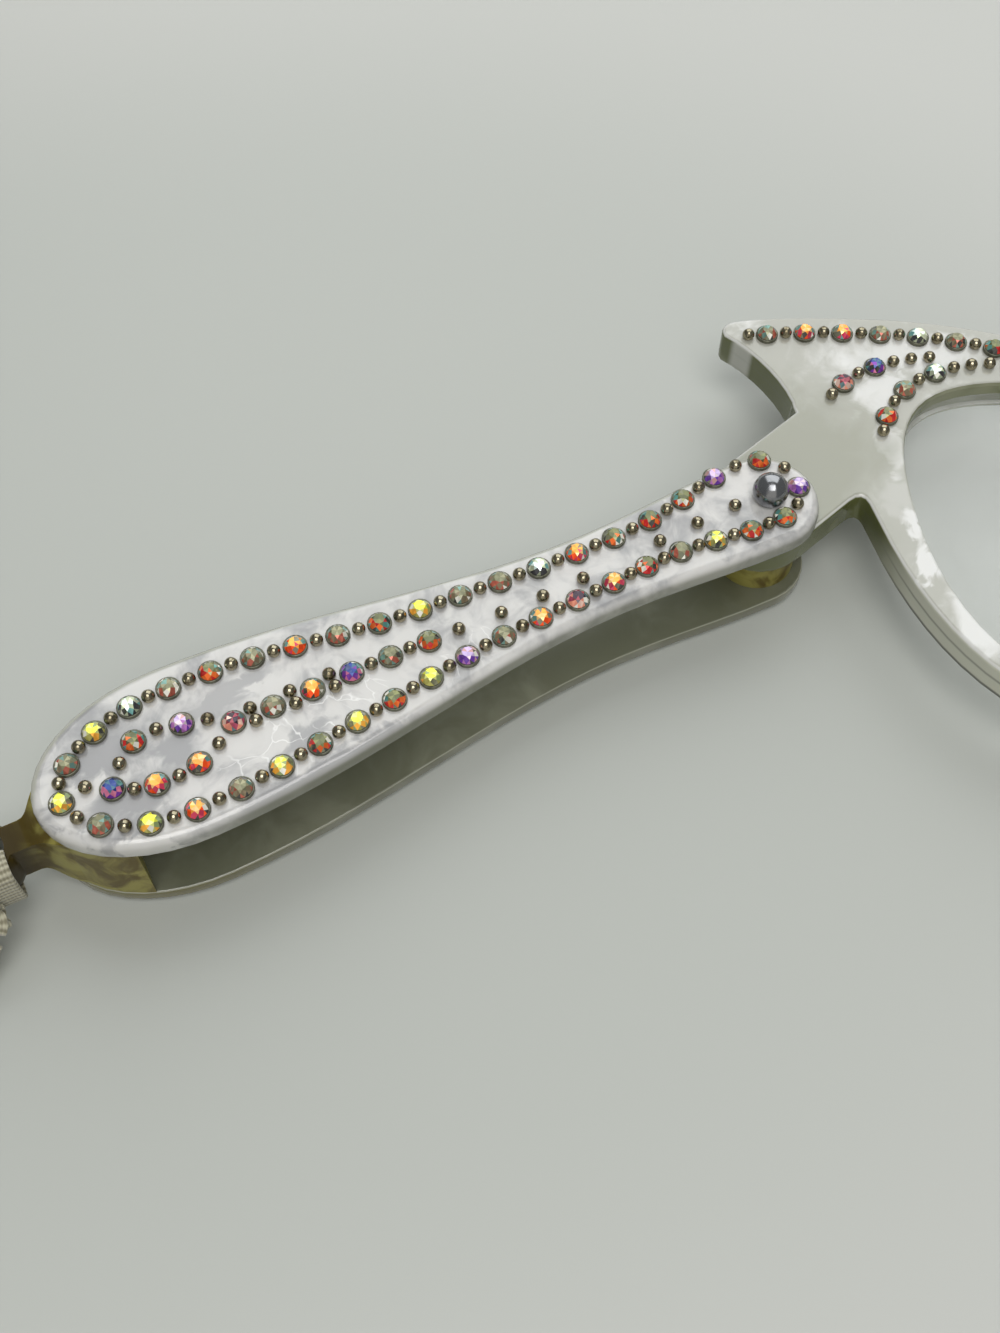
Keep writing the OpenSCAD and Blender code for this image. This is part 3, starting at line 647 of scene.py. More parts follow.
@dataclass(frozen=True)
class Table:
    """A pale table top with a painted shadow, its coat cooler and darker in one broad, soft patch.
    """

    name: str
    light: Colour
    painted_shadow: Colour
    patch: Spot

    def paint(self, s: Shader) -> None:
        """Sets the shader's inputs.

        Args:
            s: The shader.
        """
        x, y, _ = s.parts
        # Painted shadow: the patch darkens the table towards the cooler colour.
        tone = self.patch.mask(x, y) * 0.8 + s.noise(s.place, scale=0.006) * 0.2
        grain = s.noise(s.place, scale=1.2, detail=3.0)
        s.set(
            Base_Color=s.blend(tone, self.light, self.painted_shadow),
            Roughness=0.42 + grain * 0.08,
            Normal=s.bump(grain, depth=0.02, strength=0.25),
        )


class Finish(Enum):
    """Every finish of the scene."""

    LEAF = Pearl(
        "leaf_pearl", light=(0.68, 0.67, 0.655), shade=(0.35, 0.35, 0.36),
        wall=(0.17, 0.175, 0.125), wall_light=(0.36, 0.36, 0.32), patch=0.15, seed=3.0,
        # The rounding shows little base sheet at the tip and a little less from x -38 on: the paler
        # tip and head of the leaf's rounding are painted highlight.
        bias=-0.1, wall_share=0.25, wall_steps=((-69.0, 14.0, 0.65), (-38.0, 16.0, -0.2)),
        edge_highlight_share=0.25, far_side_shade=(0.42, 0.425, 0.35),
        spots=(
            Spot(-69.3, 2.0, 4.2, 2.2), Spot(-68.4, -3.2, 4.4, 1.9, 8.0),
            Spot(-63.0, -0.4, 2.4, 1.5, 60.0), Spot(-56.8, 3.2, 5.5, 0.9, 14.0, 0.8),
            Spot(-51.8, -4.6, 3.0, 1.3, 20.0, 0.9), Spot(-76.0, -4.5, 4.0, 2.2, -40.0, 0.0),
            Spot(-68.0, -7.6, 8.0, 1.2, 5.0, 0.0), Spot(-55.5, -0.6, 5.0, 2.0, 20.0, 0.0),
            Spot(-51.5, -8.5, 11.5, 1.5, 6.5, 0.9),
        ),
        crease_highlights=(
            Spot(-51.0, -3.0, 8.0, 3.6, 15.0, 0.6), Spot(-36.0, -3.2, 5.0, 1.8, 15.0, 0.4),
        ),
    )
    # The back leaf: its upper faces and walls are painted dark olive, the slot's shade under the
    # front leaf, with a paler painted highlight on its edge; the faces that look down are pearl.
    BACK = Pearl(
        "back_pearl_and_slot_shade", light=(0.19, 0.195, 0.14), shade=(0.13, 0.135, 0.09),
        wall=(0.18, 0.18, 0.125), wall_light=(0.26, 0.26, 0.20), patch=0.07, seed=17.0,
        wall_share=0.85, edge_highlight_share=0.6, edge_highlight_colour=(0.42, 0.42, 0.34), tip=(0.15, 0.13, 0.035),
        behind=(0.70, 0.69, 0.66),
    )
    FRONT = Pearl(
        "front_pearl", light=(0.76, 0.76, 0.745), shade=(0.44, 0.44, 0.39),
        wall=(0.11, 0.122, 0.036), wall_light=(0.24, 0.25, 0.15), patch=0.12, seed=41.0,
        bias=0.12, edge_highlight_share=0.75,
        spots=(
            Spot(18.7, 7.7, 3.2, 2.4, 30.0, 0.1), Spot(15.8, 1.4, 1.1, 3.6, -20.0, 0.0),
            Spot(26.0, 10.4, 7.0, 2.6, -20.0, 0.15), Spot(11.2, -12.4, 1.4, 2.6, -20.0, 0.0),
            Spot(12.8, -4.6, 1.8, 2.6, -20.0, 0.75), Spot(12.0, -8.2, 0.9, 1.8, -20.0, 0.0),
            Spot(9.9, -15.8, 2.0, 1.6, 0.0, 1.0), Spot(11.6, -20.6, 2.4, 4.4, -15.0, 0.0),
        ),
        wall_spots=(Spot(8.9, 19.6, 1.5, 1.4, 0.0, 0.6),),
        plain=(0.325, 0.33, 0.265), plain_reach=11.5, rim=(0.58, 0.585, 0.49), seam=8.5,
    )
    AMBER = Amber("clear_amber", (0.30, 0.27, 0.07), (0.11, 0.08, 0.014), (0.045, 0.03, 0.005))
    LENS = Lens("clear_lens", (0.92, 0.95, 0.94))
    CRYSTAL = Crystal("cut_crystal", (0.6, 0.58, 0.45))
    FOIL = Metal("foil_cup", (0.17, 0.17, 0.125), (0.08, 0.08, 0.056), 0.35, 1.6, 0.6)
    STUD = Metal("stud_metal", (0.38, 0.34, 0.24), (0.15, 0.125, 0.075), 0.13, 1.3)
    BALL = Metal("grey_ball", (0.29, 0.295, 0.31), (0.2, 0.205, 0.22), 0.16, 0.5, 0.95)
    STEEL = Metal("hinge_steel", (0.62, 0.62, 0.64), (0.34, 0.33, 0.32), 0.24, 0.8)
    BRASS = Metal("rivet_brass", (0.66, 0.54, 0.32), (0.33, 0.25, 0.13), 0.24, 0.8)
    RIBBON = Weave("ribbon_cloth", (0.56, 0.53, 0.40), (0.21, 0.19, 0.125), 0.55)
    # The table's painted shadow lies in a broad patch near the handle.
    TABLE = Table("table_top", (0.56, 0.565, 0.54), (0.475, 0.495, 0.465),
                  Spot(-60.0, 25.0, 120.0, 85.0, -15.0))

    @functools.cache
    def material(self) -> bpy.types.Material:
        """Makes the material, once.

        Returns:
            The material.
        """
        shader = Shader(self.value.name)
        self.value.paint(shader)
        return shader.material


@dataclass(frozen=True)
class Colours:
    """A kind of stone: its weight in the draw, and the colours of its table and two sides, painted
    flash.
    """

    weight: int
    table: tuple[Colour, Colour]
    lower: tuple[Colour, Colour]
    upper: tuple[Colour, Colour]


class Look(Enum):
    """The kinds of stones."""

    FLASH = Colours(5, ((0.72, 0.74, 0.06), (0.62, 0.64, 0.22)),
        ((0.75, 0.34, 0.04), (0.32, 0.30, 0.08)), ((0.17, 0.17, 0.10), (0.24, 0.30, 0.13)))
    EMBER = Colours(7, ((0.10, 0.11, 0.05), (0.16, 0.17, 0.07)),
        ((0.50, 0.02, 0.02), (0.66, 0.12, 0.02)), ((0.09, 0.26, 0.235), (0.17, 0.175, 0.11)))
    ORANGE = Colours(5, ((0.92, 0.31, 0.045), (0.72, 0.44, 0.17)),
        ((0.78, 0.07, 0.008), (0.52, 0.04, 0.09)), ((0.11, 0.26, 0.24), (0.18, 0.175, 0.12)))
    BLUE = Colours(2, ((0.015, 0.04, 0.19), (0.05, 0.13, 0.20)),
        ((0.55, 0.16, 0.28), (0.15, 0.035, 0.28)), ((0.07, 0.20, 0.19), (0.035, 0.05, 0.12)))
    LILAC = Colours(3, ((0.42, 0.32, 0.54), (0.50, 0.40, 0.44)),
        ((0.13, 0.04, 0.32), (0.36, 0.14, 0.40)), ((0.20, 0.19, 0.14), (0.48, 0.27, 0.27)))
    DULL = Colours(6, ((0.15, 0.15, 0.085), (0.24, 0.23, 0.14)),
        ((0.36, 0.09, 0.06), (0.18, 0.14, 0.085)), ((0.18, 0.19, 0.13), (0.12, 0.23, 0.20)))
    ICE = Colours(2, ((0.70, 0.84, 0.78), (0.58, 0.66, 0.42)),
        ((0.04, 0.04, 0.045), (0.30, 0.33, 0.23)), ((0.13, 0.31, 0.30), (0.48, 0.51, 0.38)))
    WINE = Colours(2, ((0.035, 0.02, 0.035), (0.24, 0.04, 0.06)),
        ((0.70, 0.26, 0.18), (0.62, 0.42, 0.35)), ((0.36, 0.06, 0.11), (0.10, 0.18, 0.19)))


class Facet(Enum):
    """The kinds of facets, from the stone's flat top down."""

    TABLE = auto()
    STAR = auto()
    KITE = auto()
    BREAK = auto()
    FOOT = auto()


# Meshes.


def new_object(name: str, data: bpy.types.ID) -> Piece:
    """Links a new object into the scene.

    Args:
        name: The object's name.
        data: Its mesh, light or camera.

    Returns:
        The object.
    """
    piece = bpy.data.objects.new(name, data)
    bpy.context.scene.collection.objects.link(piece)
    return piece


def dress(node: Piece, finish: Finish) -> Piece:
    """Gives a CAD node one material.

    Args:
        node: The node.
        finish: The material's finish.

    Returns:
        The node.
    """
    node.data.materials.clear()
    node.data.materials.append(finish.material())
    return node


def spline(points: Sequence[Vector], steps: int) -> list[Vector]:
    """Draws a smooth path.

    Args:
        points: What the path goes through.
        steps: How many points each stretch gets.

    Returns:
        The path's points.
    """
    path = []
    for i in range(len(points) - 1):
        a, b, c, d = (points[min(max(i + k, 0), len(points) - 1)] for k in (-1, 0, 1, 2))
        for j in range(steps):
            t = j / steps
            path.append(0.5 * (2 * b + (c - a) * t + (2 * a - 5 * b + 4 * c - d) * t * t
                               + (3 * b - a - 3 * c + d) * t ** 3))
    return path + [points[-1]]


def tie(piece: Piece, body: str, finish: Finish, *nodes: str) -> Piece:
    """Ties a piece to the frame.

    Args:
        piece: The piece.
        body: The body that it rides on.
        finish: Not used.
        nodes: The nodes that it stands for.

    Returns:
        The piece.
    """
    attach(piece, body)
    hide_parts(*nodes)
    return piece


@dataclass(frozen=True)
class Refined:
    """A copy of a CAD node, welded and shaded as one smooth surface up to a crease in degrees."""

    node: Piece
    body: str
    finish: Finish
    crease: float

    WELD = 0.004
    FLAT = 0.3

    def build(self) -> Piece:
        """Makes the piece, which stands for the node.

        Returns:
            The piece.
        """
        mesh = self.node.data.copy()
        welded = bmesh.new()
        welded.from_mesh(mesh)
        bmesh.ops.remove_doubles(welded, verts=welded.verts, dist=self.WELD * MM)
        bmesh.ops.dissolve_limit(welded, angle_limit=math.radians(self.FLAT), verts=welded.verts,
                                 edges=welded.edges, delimit={"NORMAL"})
        welded.to_mesh(mesh)
        welded.free()
        piece = new_object(f"{self.node.name}_smooth", mesh)
        mesh.shade_smooth()
        mesh.set_sharp_from_angle(angle=math.radians(self.crease))
        normals = piece.modifiers.new("weighted", "WEIGHTED_NORMAL")
        normals.keep_sharp = True
        return tie(dress(piece, self.finish), self.body, self.finish, self.node.name)


@dataclass(frozen=True)
class Seat:
    """One stone's place: the middle of its foot, its radius and its height, in metres."""

    foot: Vector
    radius: float
    height: float

    def ring(self, shape: Shape, size: Pair, count: int, turn: float = 0.0) -> Ring:
        """Adds a ring of points round the stone's axis.

        Args:
            shape: The mesh.
            size: The ring's radius and height, as shares of the stone's.
            count: How many points it has.
            turn: The direction of its first point, in radians.

        Returns:
            The points.
        """
        radius, z = self.radius * size[0], self.height * size[1]
        angles = (turn + math.tau * k / count for k in range(count))
        return [shape.verts.new(self.foot + Vector((radius * math.cos(a), radius * math.sin(a), z)))
                for a in angles]


@dataclass(frozen=True)
class StoneSet:
    """Faceted stones in foil cups that stand where one CAD node has its plain stones."""

    node: Piece
    body: str
    rng: random.Random

    # Rings of a stone and of its cup, as shares of the stone's radius and height.
    SIDES = 8
    TABLE = (0.46, 1.0)
    CROWN = (0.67, 0.82)
    GIRDLE = (0.86, 0.42)
    FOOT = (0.84, 0.05)
    CUP_SIDES = 20
    CUP = ((0.97, 0.0), (1.0, 0.16), (0.99, 0.34), (0.93, 0.40), (0.84, 0.33))

    # The CAD stones: how level tops and feet are, and how far a top and a foot reach.
    TOP_LEVEL, FOOT_LEVEL = 0.01, 0.001
    TOP_REACH, FOOT_LEAST = 1.6, 1.0
    FOOT_SHARE = 0.93

    # The colours, painted flash of the coated stones: the low side in the camera's view, whose
    # facets take the lower colours, how far chance leans a facet, and the low side's share, then
    # the odd facets, painted dark and bright reflections, and their share.
    LOW = Vector((-0.446, -0.895, 0.0))
    LEAN = 0.55
    LOW_FROM, LOW_SHARE = 0.1, 0.8
    ODD, ODD_SHARE = ((0.05, 0.05, 0.045), (0.75, 0.74, 0.66)), 0.16
    BRIGHT = (0.8, 1.3)
    FOOT_COLOUR = (0.06, 0.06, 0.045)

    def build(self) -> Piece:
        """Makes all the node's stones as one piece.

        Returns:
            The piece.
        """
        shape = bmesh.new()
        layer = shape.loops.layers.float_color.new(FACET_LAYER)
        for seat in self._seats():
            self._cup(shape, seat)
            self._stone(shape, layer, seat)
        mesh = bpy.data.meshes.new(f"{self.node.name}_cut")
        shape.to_mesh(mesh)
        shape.free()
        mesh.materials.append(Finish.CRYSTAL.material())
        mesh.materials.append(Finish.FOIL.material())
        return tie(new_object(mesh.name, mesh), self.body, Finish.CRYSTAL, self.node.name)

    def _seats(self) -> list[Seat]:
        """Finds the node's stones.

        Returns:
            The place of each stone.
        """
        points = [v.co.copy() for v in self.node.data.vertices]
        top, base = max(p.z for p in points), min(p.z for p in points)
        groups: list[list[Vector]] = []
        for point in points:
            if top - point.z > self.TOP_LEVEL * MM:
                continue
            near = (g for g in groups if (g[0] - point).length < self.TOP_REACH * MM)
            group = next(near, None)
            if group is None:
                groups.append([point])
            else:
                group.append(point)
        spots = []
        for group in groups:
            unique = {(round(p.x, 6), round(p.y, 6)) for p in group}
            middle = sum((Vector((x, y, 0)) for x, y in unique), Vector()) / len(unique)
            spots.append(Vector((middle.x, middle.y, base)))
        reaches = ((Vector((p.x, p.y, base)) - spots[0]).length
                   for p in points if p.z - base < self.FOOT_LEVEL * MM)
        radius = min(reach for reach in reaches if reach > self.FOOT_LEAST * MM) / self.FOOT_SHARE
        return [Seat(spot, radius, top - base) for spot in spots]

    def _cup(self, shape: Shape, seat: Seat) -> None:
        """Adds a thin ring of dark foil round the girdle.

        Args:
            shape: The mesh.
            seat: The stone's place.
        """
        rows = [seat.ring(shape, size, self.CUP_SIDES) for size in self.CUP]
        for low, high in zip(rows, rows[1:]):
            for k in range(self.CUP_SIDES):
                j = (k + 1) % self.CUP_SIDES
                face = shape.faces.new((low[k], low[j], high[j], high[k]))
                face.material_index = 1
                face.smooth = True

    def _stone(self, shape: Shape, layer: bmesh.types.BMLayerItem, seat: Seat) -> None:
        """Adds a stone, each of whose facets has its own colour of painted flash.

        Args:
            shape: The mesh.
            layer: The layer that holds the colours.
            seat: The stone's place.
        """
        n = self.SIDES
        turn = self.rng.uniform(0, math.pi)
        table = seat.ring(shape, self.TABLE, n, turn)
        crown = seat.ring(shape, self.CROWN, n, turn + math.pi / n)
        girdle = seat.ring(shape, self.GIRDLE, 2 * n, turn)
        foot = seat.ring(shape, self.FOOT, 2 * n, turn)
        look = self.rng.choices(list(Look), [kind.value.weight for kind in Look])[0].value
        middle = shape.verts.new(seat.foot + Vector((0, 0, seat.height)))
        facets = []
        for k in range(n):
            j, m, p = (k + 1) % n, 2 * k + 1, (2 * k + 2) % (2 * n)
            facets += [
                (Facet.TABLE, (middle, table[k], table[j])),
                (Facet.STAR, (crown[k], table[j], table[k])),
                (Facet.KITE, (table[k], crown[k - 1], girdle[2 * k], crown[k])),
                (Facet.BREAK, (crown[k], girdle[2 * k], girdle[m])),
                (Facet.BREAK, (crown[k], girdle[m], girdle[p])),
            ]
        for k in range(2 * n):
            j = (k + 1) % (2 * n)
            facets.append((Facet.FOOT, (foot[k], foot[j], girdle[j], girdle[k])))
        for kind, corners in facets:
            face = shape.faces.new(corners)
            face.smooth = False
            way = face.calc_center_median() - seat.foot
            low = Vector((way.x, way.y, 0)).normalized().dot(self.LOW)
            colour = self._colour(look, kind, low)
            for loop in face.loops:
                loop[layer] = (*colour, 1.0)

    def _colour(self, look: Colours, kind: Facet, low: float) -> Colour:
        """Draws a facet's colour of painted flash.

        Args:
            look: The stone's colours.
            kind: The facet's kind.
            low: How far the facet looks to the low side, from -1 to 1.

        Returns:
            The colour.
        """
        lean = low + self.rng.uniform(-self.LEAN, self.LEAN)
        if kind is Facet.FOOT:
            return self.FOOT_COLOUR
        side = look.lower if lean > 0 else look.upper
        main, second = look.table
        if kind is Facet.TABLE:
            choice = self.rng.choice((*(main,) * 5, second, second, side[1]))
        elif kind is Facet.STAR:
            choice = self.rng.choice((main, second, second, side[0]))
        else:
            lower = lean > self.LOW_FROM and self.rng.random() < self.LOW_SHARE
            choice = self.rng.choice(look.lower if lower else look.upper)
            # Painted reflection: now and then a facet is near black or near white.
            if self.rng.random() < self.ODD_SHARE:
                choice = self.rng.choice(self.ODD)
        level = self.rng.uniform(*self.BRIGHT)
        return tuple(min(1.0, level * c) for c in choice)


@dataclass(frozen=True)
class Strip:
    """A cambered strip of cloth with seams, by its path and the direction of its width there."""

    name: str
    path: Sequence[Vector]
    sides: Sequence[Vector]
    width: float
    thick: float
    closed: bool = False

    # Places across one face and the thickness there, as shares of half the width and thickness.
    SECTION = ((-1.0, 0.62), (-0.93, 1.0), (-0.7, 0.86), (-0.35, 0.86), (0.0, 0.86),
               (0.35, 0.86), (0.7, 0.86), (0.93, 1.0), (1.0, 0.62))
    CAMBER = 0.05

    def build(self) -> Piece:
        """Makes the strip, with U across it and V along it in millimetres.

        Returns:
            The piece.
        """
        shape = bmesh.new()
        uv = shape.loops.layers.uv.new("UVMap")
        count = len(self.path)
        rows = [self._row(shape, i) for i in range(count)]
        marks = [a * self.width / 2 for face in (1, -1) for a, _ in self.SECTION[::face]]
        low = 0.0
        for i in range(count if self.closed else count - 1):
            j = (i + 1) % count
            high = low + (self.path[j] - self.path[i]).length
            for k, mark in enumerate(marks):
                m = (k + 1) % len(marks)
                face = shape.faces.new((rows[i][k], rows[i][m], rows[j][m], rows[j][k]))
                face.smooth = True
                places = ((mark, low), (marks[m], low), (marks[m], high), (mark, high))
                for loop, place in zip(face.loops, places):
                    loop[uv].uv = place
            low = high
        if not self.closed:
            shape.faces.new(rows[0][::-1])
            shape.faces.new(rows[-1])
        bmesh.ops.recalc_face_normals(shape, faces=shape.faces)
        mesh = bpy.data.meshes.new(self.name)
        shape.to_mesh(mesh)
        shape.free()
        mesh.materials.append(Finish.RIBBON.material())
        return new_object(self.name, mesh)

    def _row(self, shape: Shape, i: int) -> Ring:
        """Adds the points round the strip at one point of its path.

        Args:
            shape: The mesh.
            i: That point's place in the path.

        Returns:
            The points.
        """
        count, point = len(self.path), self.path[i]
        ahead = self.path[(i + 1) % count] if self.closed or i < count - 1 else point
        behind = self.path[i - 1] if self.closed or i > 0 else point
        going = (ahead - behind).normalized()
        side = (self.sides[i] - going * self.sides[i].dot(going)).normalized()
        up = side.cross(going)
        row = []
        for face in (1, -1):
            for a, share in self.SECTION[::face]:
                camber = self.CAMBER * self.thick * (1 - a * a)
                rise = face * (self.thick / 2 * share) + camber
                row.append(shape.verts.new((point + side * (a * self.width / 2) + up * rise) * MM))
        return row


# Sub-assemblies.


@dataclass(frozen=True)
class Ribbon:
    """The ribbon: a loop through the eyelet, a knot, the stretch to the table and the coil."""

    body: str = "handle"
    width: float = 4.0
    thick: float = 0.5
    # The points from the knot to the coil, each with the ribbon's twist in degrees.
    route: tuple[tuple[float, float, float, float], ...] = (
        (-84.9, -5.9, 4.6, 0), (-85.6, -6.3, 4.1, 0), (-86.4, -6.7, 3.5, 0),
        (-87.2, -7.1, 2.8, 0), (-88.1, -7.5, 2, 0), (-89.1, -8, 1.3, 0),
        (-90.2, -8.6, 0.75, 0), (-91.5, -9.4, 0.42, 0), (-93, -10.5, 0.35, 3),
        (-94.6, -11.9, 0.5, 12), (-96.3, -13.4, 0.85, 27), (-98.1, -14.8, 1.35, 45),
        (-100.1, -16.1, 1.8, 63), (-102.3, -17.2, 2.05, 79), (-104.6, -17.8, 2.1, 88),
        (-107, -18, 2.1, 90),
    )
    # The coil, whose radius shrinks by the pitch in each turn, and the tail that bends out of it.
    coil_at: Pair = (-111.0, 6.0)
    coil_radius: float = 24.0
    coil_pitch: float = 2.2
    coil_turns: int = 2
    tail_turn: float = -22.0
    tail_lead: float = 2.5

    # Steps a turn of the coil, a stretch of the strip, the loop and a knot.
    COIL_STEPS, FINE_STEPS, LOOP_STEPS, KNOT_STEPS = 24, 4, 48, 96
    EDGE_GAP = 0.1
    LOOP_CORNER = 0.55

    # The knots, as shares of their reach.
    KNOT_RADIUS, KNOT_WAVE, KNOT_SWING = 0.62, 0.12, 0.34
    KNOT_WIDTH, KNOT_THICK, KNOT_LEAN = 1.05, 0.42, 0.35

    @property
    def edge_height(self) -> float:
        """Returns the height of the ribbon's middle where it stands on its edge."""
        return self.width / 2 + self.EDGE_GAP

    def _on_coil(self, angle: float) -> Vector:
        """Finds a point of the coil.

        Args:
            angle: How far round the coil it is, in degrees.

        Returns:
            The point.
        """
        a = math.radians(angle)
        r = self.coil_radius - self.coil_pitch * angle / 360
        x, y = self.coil_at[0] - r * math.sin(a), self.coil_at[1] - r * math.cos(a)
        return Vector((x, y, self.edge_height))

    def centreline(self) -> tuple[list[Vector], list[Vector]]:
        """Finds how the ribbon runs.

        Returns:
            Its path, and the direction of its width at each point.
        """
        up = Vector((0, 0, 1))
        knots = [Vector(r[:3]) for r in self.route]
        path, sides = [], []
        for i, point in enumerate(knots):
            going = (knots[min(i + 1, len(knots) - 1)] - knots[max(i - 1, 0)]).normalized()
            if i == len(knots) - 1:
                going = Vector((-1, 0, 0))
            flat = up.cross(going).normalized()
            twist = math.radians(self.route[i][3])
            path.append(point)
            sides.append(math.cos(twist) * flat + math.sin(twist) * going.cross(flat))
        path += [self._on_coil(i * 360 / self.COIL_STEPS)
                 for i in range(self.coil_turns * self.COIL_STEPS + 1)]
        last = 360.0 * self.coil_turns
        going = (self._on_coil(last + 0.5) - self._on_coil(last - 0.5)).normalized()
        tail = Matrix.Rotation(math.radians(self.tail_turn), 3, "Z") @ going
        end = path[-1]
        path += [end + self.tail_lead * tail, end + (self.tail_lead + self.width) * tail]
        sides += [up] * (len(path) - len(sides))
        return path, sides

    def build(self) -> list[Piece]:
        """Returns:
            The pieces.
        """
        path, sides = self.centreline()
        fine = spline(path, self.FINE_STEPS)
        fine_sides = [s.normalized() for s in spline(sides, self.FINE_STEPS)]
        cloth = Strip("ribbon_cloth_strip", fine, fine_sides, self.width, self.thick).build()
        strip = tie(cloth, self.body, Finish.RIBBON, "ribbon", "ribbon_coil")
        loop = self._loop()
        knot = self._knot("ribbon_wrap_knot", "ribbon_knot", Vector((1, 0, 0)))
        end_way = (path[-1] - path[-2]).normalized()
        end = self._knot("ribbon_tail_knot", "ribbon_end_knot", end_way)
        length = sum((b - a).length for a, b in zip(path, path[1:])) * MM
        path[0] * MM
        self.width * MM
        [p * MM for p in fine]
        LOG.info("ribbon: %.0f mm", length / MM)
        return [strip, loop, knot, end]

    def _loop(self) -> Piece:
        """Makes the band round the eyelet's wall, set inside its CAD solid.

        Returns:
            The piece.
        """
        low, high = (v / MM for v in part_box("ribbon_loop"))
        middle_x = (low.x + high.x) / 2
        half_y, half_z = (high.y - low.y - self.thick) / 2, (high.z - low.z - self.thick) / 2
        centre = (low + high) / 2
        path = []
        for k in range(self.LOOP_STEPS):
            a = math.tau * k / self.LOOP_STEPS
            c, s = math.cos(a), math.sin(a)
            y = math.copysign(abs(c) ** self.LOOP_CORNER, c) * half_y
            z = math.copysign(abs(s) ** self.LOOP_CORNER, s) * half_z
            path.append(Vector((middle_x, centre.y + y, centre.z + z)))
        sides = [Vector((1, 0, 0))] * len(path)
        band = Strip("ribbon_eye_loop", path, sides, high.x - low.x, self.thick, closed=True)
        return tie(band.build(), self.body, Finish.RIBBON, "ribbon_loop")

    def _knot(self, name: str, node: str, axis: Vector) -> Piece:
        """Makes a pulled knot: three turns of the ribbon over and under one another.

        Args:
            name: The piece's name.
            node: The node that it stands for.
            axis: The ribbon's direction through the knot.

        Returns:
            The piece.
        """
        low, high = (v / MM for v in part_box(node))
        centre = (low + high) / 2
        reach = min(high.x - low.x, high.y - low.y, high.z - low.z) / 2
        side = axis.cross(Vector((0, 0, 1))).normalized()
        up = side.cross(axis).normalized()
        path, sides = [], []
        for k in range(self.KNOT_STEPS):
            a = math.tau * k / self.KNOT_STEPS
            r = reach * (self.KNOT_RADIUS + self.KNOT_WAVE * math.cos(3 * a))
            swing = self.KNOT_SWING * reach * math.sin(3 * a)
            c, s = math.cos(2 * a), math.sin(2 * a)
            path.append(centre + side * (r * c) + up * (r * s) + axis * swing)
            sides.append(axis + self.KNOT_LEAN * math.cos(3 * a) * (side * c + up * s))
        turns = Strip(name, path, sides, reach * self.KNOT_WIDTH, reach * self.KNOT_THICK,
                      closed=True)
        return tie(turns.build(), self.body, Finish.RIBBON, node)


@dataclass(frozen=True)
class Assembly:
    """One body's CAD nodes: those to smooth, with their crease, to cut as stones, and to dress."""

    body: str
    smooth: tuple[tuple[str, Finish, float], ...]
    stones: tuple[tuple[str, int], ...]
    plain: tuple[tuple[str, Finish], ...]

    def build(self, nodes: Nodes) -> list[Piece]:
        """Replaces and dresses the nodes.

        Args:
            nodes: The CAD nodes by name.

        Returns:
            The pieces.
        """
        pieces = [Refined(nodes[name], self.body, finish, crease).build()
                  for name, finish, crease in self.smooth]
        pieces += [StoneSet(nodes[name], self.body, random.Random(seed)).build()
                   for name, seed in self.stones]
        return pieces + [dress(nodes[name], finish) for name, finish in self.plain]


HANDLE = Assembly(
    "handle",
    smooth=(("front_leaf", Finish.LEAF, 32.0), ("back_leaf", Finish.BACK, 32.0),
            ("end_spacer", Finish.AMBER, 32.0)),
    stones=(("handle_edge_stones", 7), ("handle_inner_stones", 8)),
    plain=(("pivot_boss", Finish.AMBER), ("pivot_pin", Finish.STEEL), ("pivot_ball", Finish.BALL),
           ("front_washer", Finish.BRASS), ("rear_washer", Finish.BRASS),
           ("handle_edge_studs", Finish.STUD), ("handle_inner_studs", Finish.STUD)),
)


def half(side: str, seed: int) -> Assembly:
    """Lists the nodes of one half of the front.

    Args:
        side: The prefix of the half's nodes and of its body.
        seed: The seed of its stones.

    Returns:
        The half.
    """
    return Assembly(
        f"{side}_frame",
        smooth=((f"{side}_rim", Finish.FRONT, 32.0), (f"{side}_lens", Finish.LENS, 50.0)),
        stones=((f"{side}_stones", seed),),
        plain=((f"{side}_studs", Finish.STUD), (f"{side}_hinge_leaf", Finish.STEEL),
               (f"{side}_hinge_rivets", Finish.BRASS)),
    )


# Scene.


@dataclass(frozen=True)
class Eye:
    """The photograph's camera: its place and directions in the row frame, and its optics."""

    name: str = "photo_camera"
    place: Place = (-64.1, -68.3, 133.9)
    right: Place = (0.8951, -0.4459, 0.0)
    forward: Place = (0.2229, 0.4475, -0.8660)
    lens: float = 40.5
    sensor: float = 36.0
    nearest: float = 0.01
    farthest: float = 20.0

    def build(self) -> None:
        """Makes the camera and sets it as the scene's own."""
        data = bpy.data.cameras.new(self.name)
        data.lens = self.lens
        data.sensor_width = self.sensor
        data.clip_start = self.nearest
        data.clip_end = self.farthest
        camera = new_object(self.name, data)
        back = -Vector(self.forward).normalized()
        right = Vector(self.right).normalized()
        turn = Matrix((right, back.cross(right), back)).transposed().to_4x4()
        camera.matrix_world = Matrix.Translation(Vector(self.place) * MM) @ turn
        bpy.context.scene.camera = camera


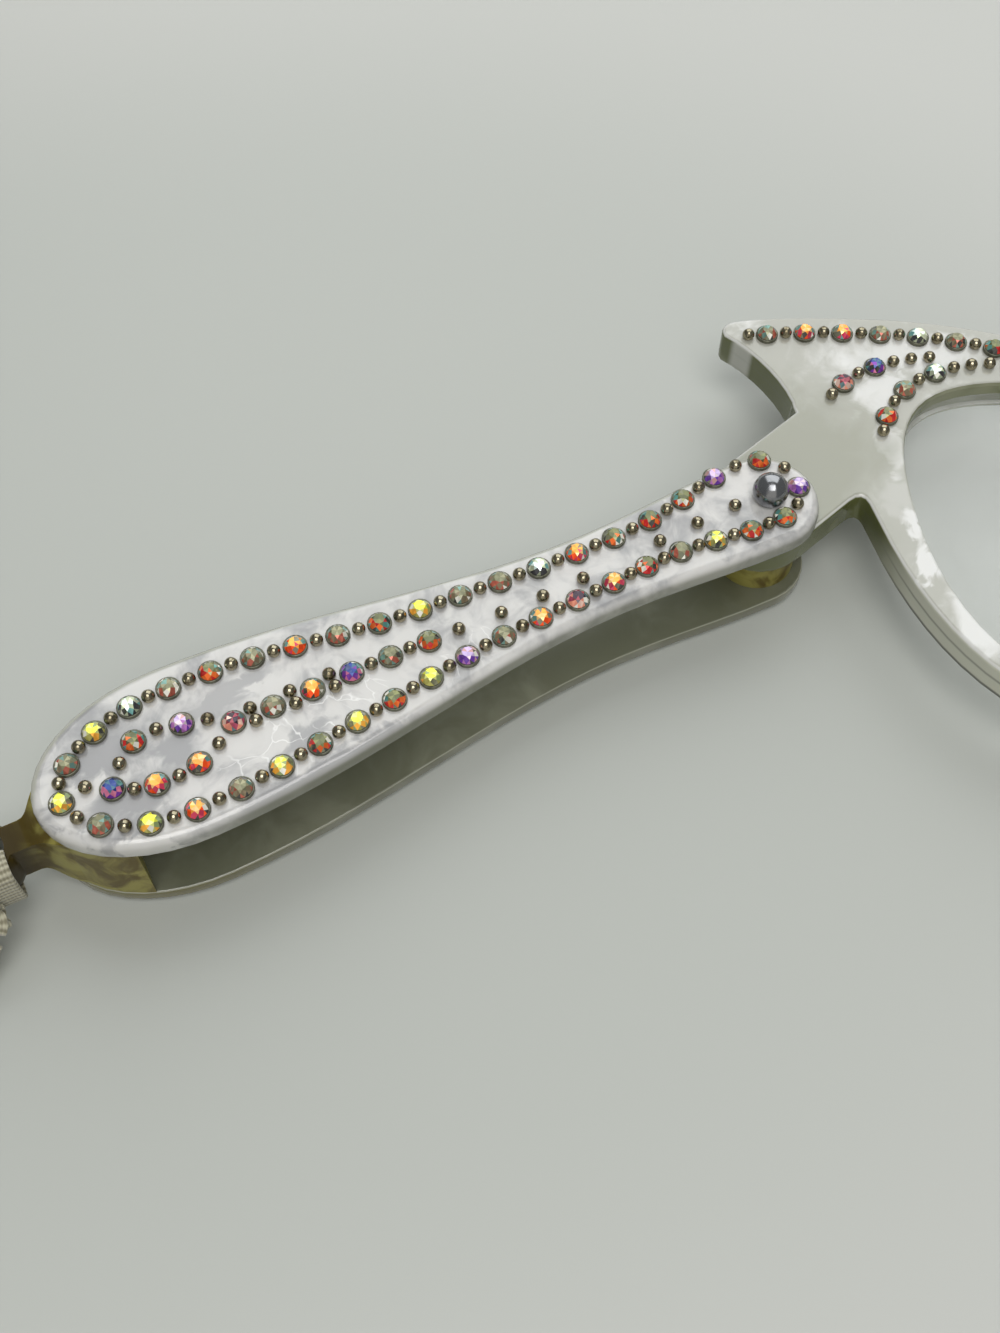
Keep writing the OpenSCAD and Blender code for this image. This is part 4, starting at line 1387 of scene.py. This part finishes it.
@dataclass(frozen=True)
class Lamp:
    """A soft square light that looks at the frame's origin. Its place and width are in metres."""

    name: str
    place: Place
    width: float
    power: float
    colour: Colour

    def build(self) -> None:
        """Makes the light."""
        data = bpy.data.lights.new(self.name, "AREA")
        data.shape = "SQUARE"
        data.size = self.width
        data.energy = self.power
        data.color = self.colour
        lamp = new_object(self.name, data)
        turn = (-Vector(self.place)).to_track_quat("-Z", "Y").to_matrix().to_4x4()
        lamp.matrix_world = Matrix.Translation(self.place) @ turn


@dataclass(frozen=True)
class Studio:
    """The table, the lights and the world. The table's half size is in metres."""

    table_half: float = 3.0
    world: Colour = (0.80, 0.83, 0.82)
    world_strength: float = 0.25
    lamps: tuple[Lamp, ...] = (
        Lamp("window", (0.60, 0.86, 0.95), 1.6, 14.0, (0.98, 1.0, 0.99)),
        Lamp("ceiling", (-0.18, -0.42, 1.2), 0.8, 8.0, (1.0, 0.99, 0.97)),
        Lamp("near_wall", (-1.4, -2.4, 1.26), 3.5, 16.2, (1.0, 0.95, 0.85)),
    )

    def build(self, floor: float) -> None:
        """Makes the table, the lights and the world.

        Args:
            floor: The table's height, in metres.
        """
        shape = bmesh.new()
        bmesh.ops.create_grid(shape, x_segments=1, y_segments=1, size=self.table_half)
        mesh = bpy.data.meshes.new("table")
        shape.to_mesh(mesh)
        shape.free()
        mesh.materials.append(Finish.TABLE.material())
        table = new_object("table", mesh)
        table.location.z = floor
        table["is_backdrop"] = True
        for lamp in self.lamps:
            lamp.build()
        scene = bpy.context.scene
        scene.world = scene.world or bpy.data.worlds.new("room")
        scene.world.use_nodes = True
        sky = scene.world.node_tree.nodes["Background"]
        sky.inputs["Color"].default_value = (*self.world, 1.0)
        sky.inputs["Strength"].default_value = self.world_strength
        scene.view_settings.view_transform = "Standard"


def main() -> None:
    """Makes the camera and the ribbon first, then everything else, and reports each piece."""
    logging.basicConfig(level=logging.INFO)
    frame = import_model()
    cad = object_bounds()
    nodes = frame["nodes"]
    Eye().build()
    pieces = Ribbon().build()
    for assembly in (HANDLE, half("near", seed=21), half("far", seed=33)):
        pieces += assembly.build(nodes)
    pieces.append(dress(nodes["hinge_pin"], Finish.STEEL))
    for piece in pieces:
        LOG.info("%s: %d faces", piece.name, len(piece.data.polygons))
    Studio().build(cad[0].z)
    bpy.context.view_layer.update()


if __name__ == "__main__":
    main()
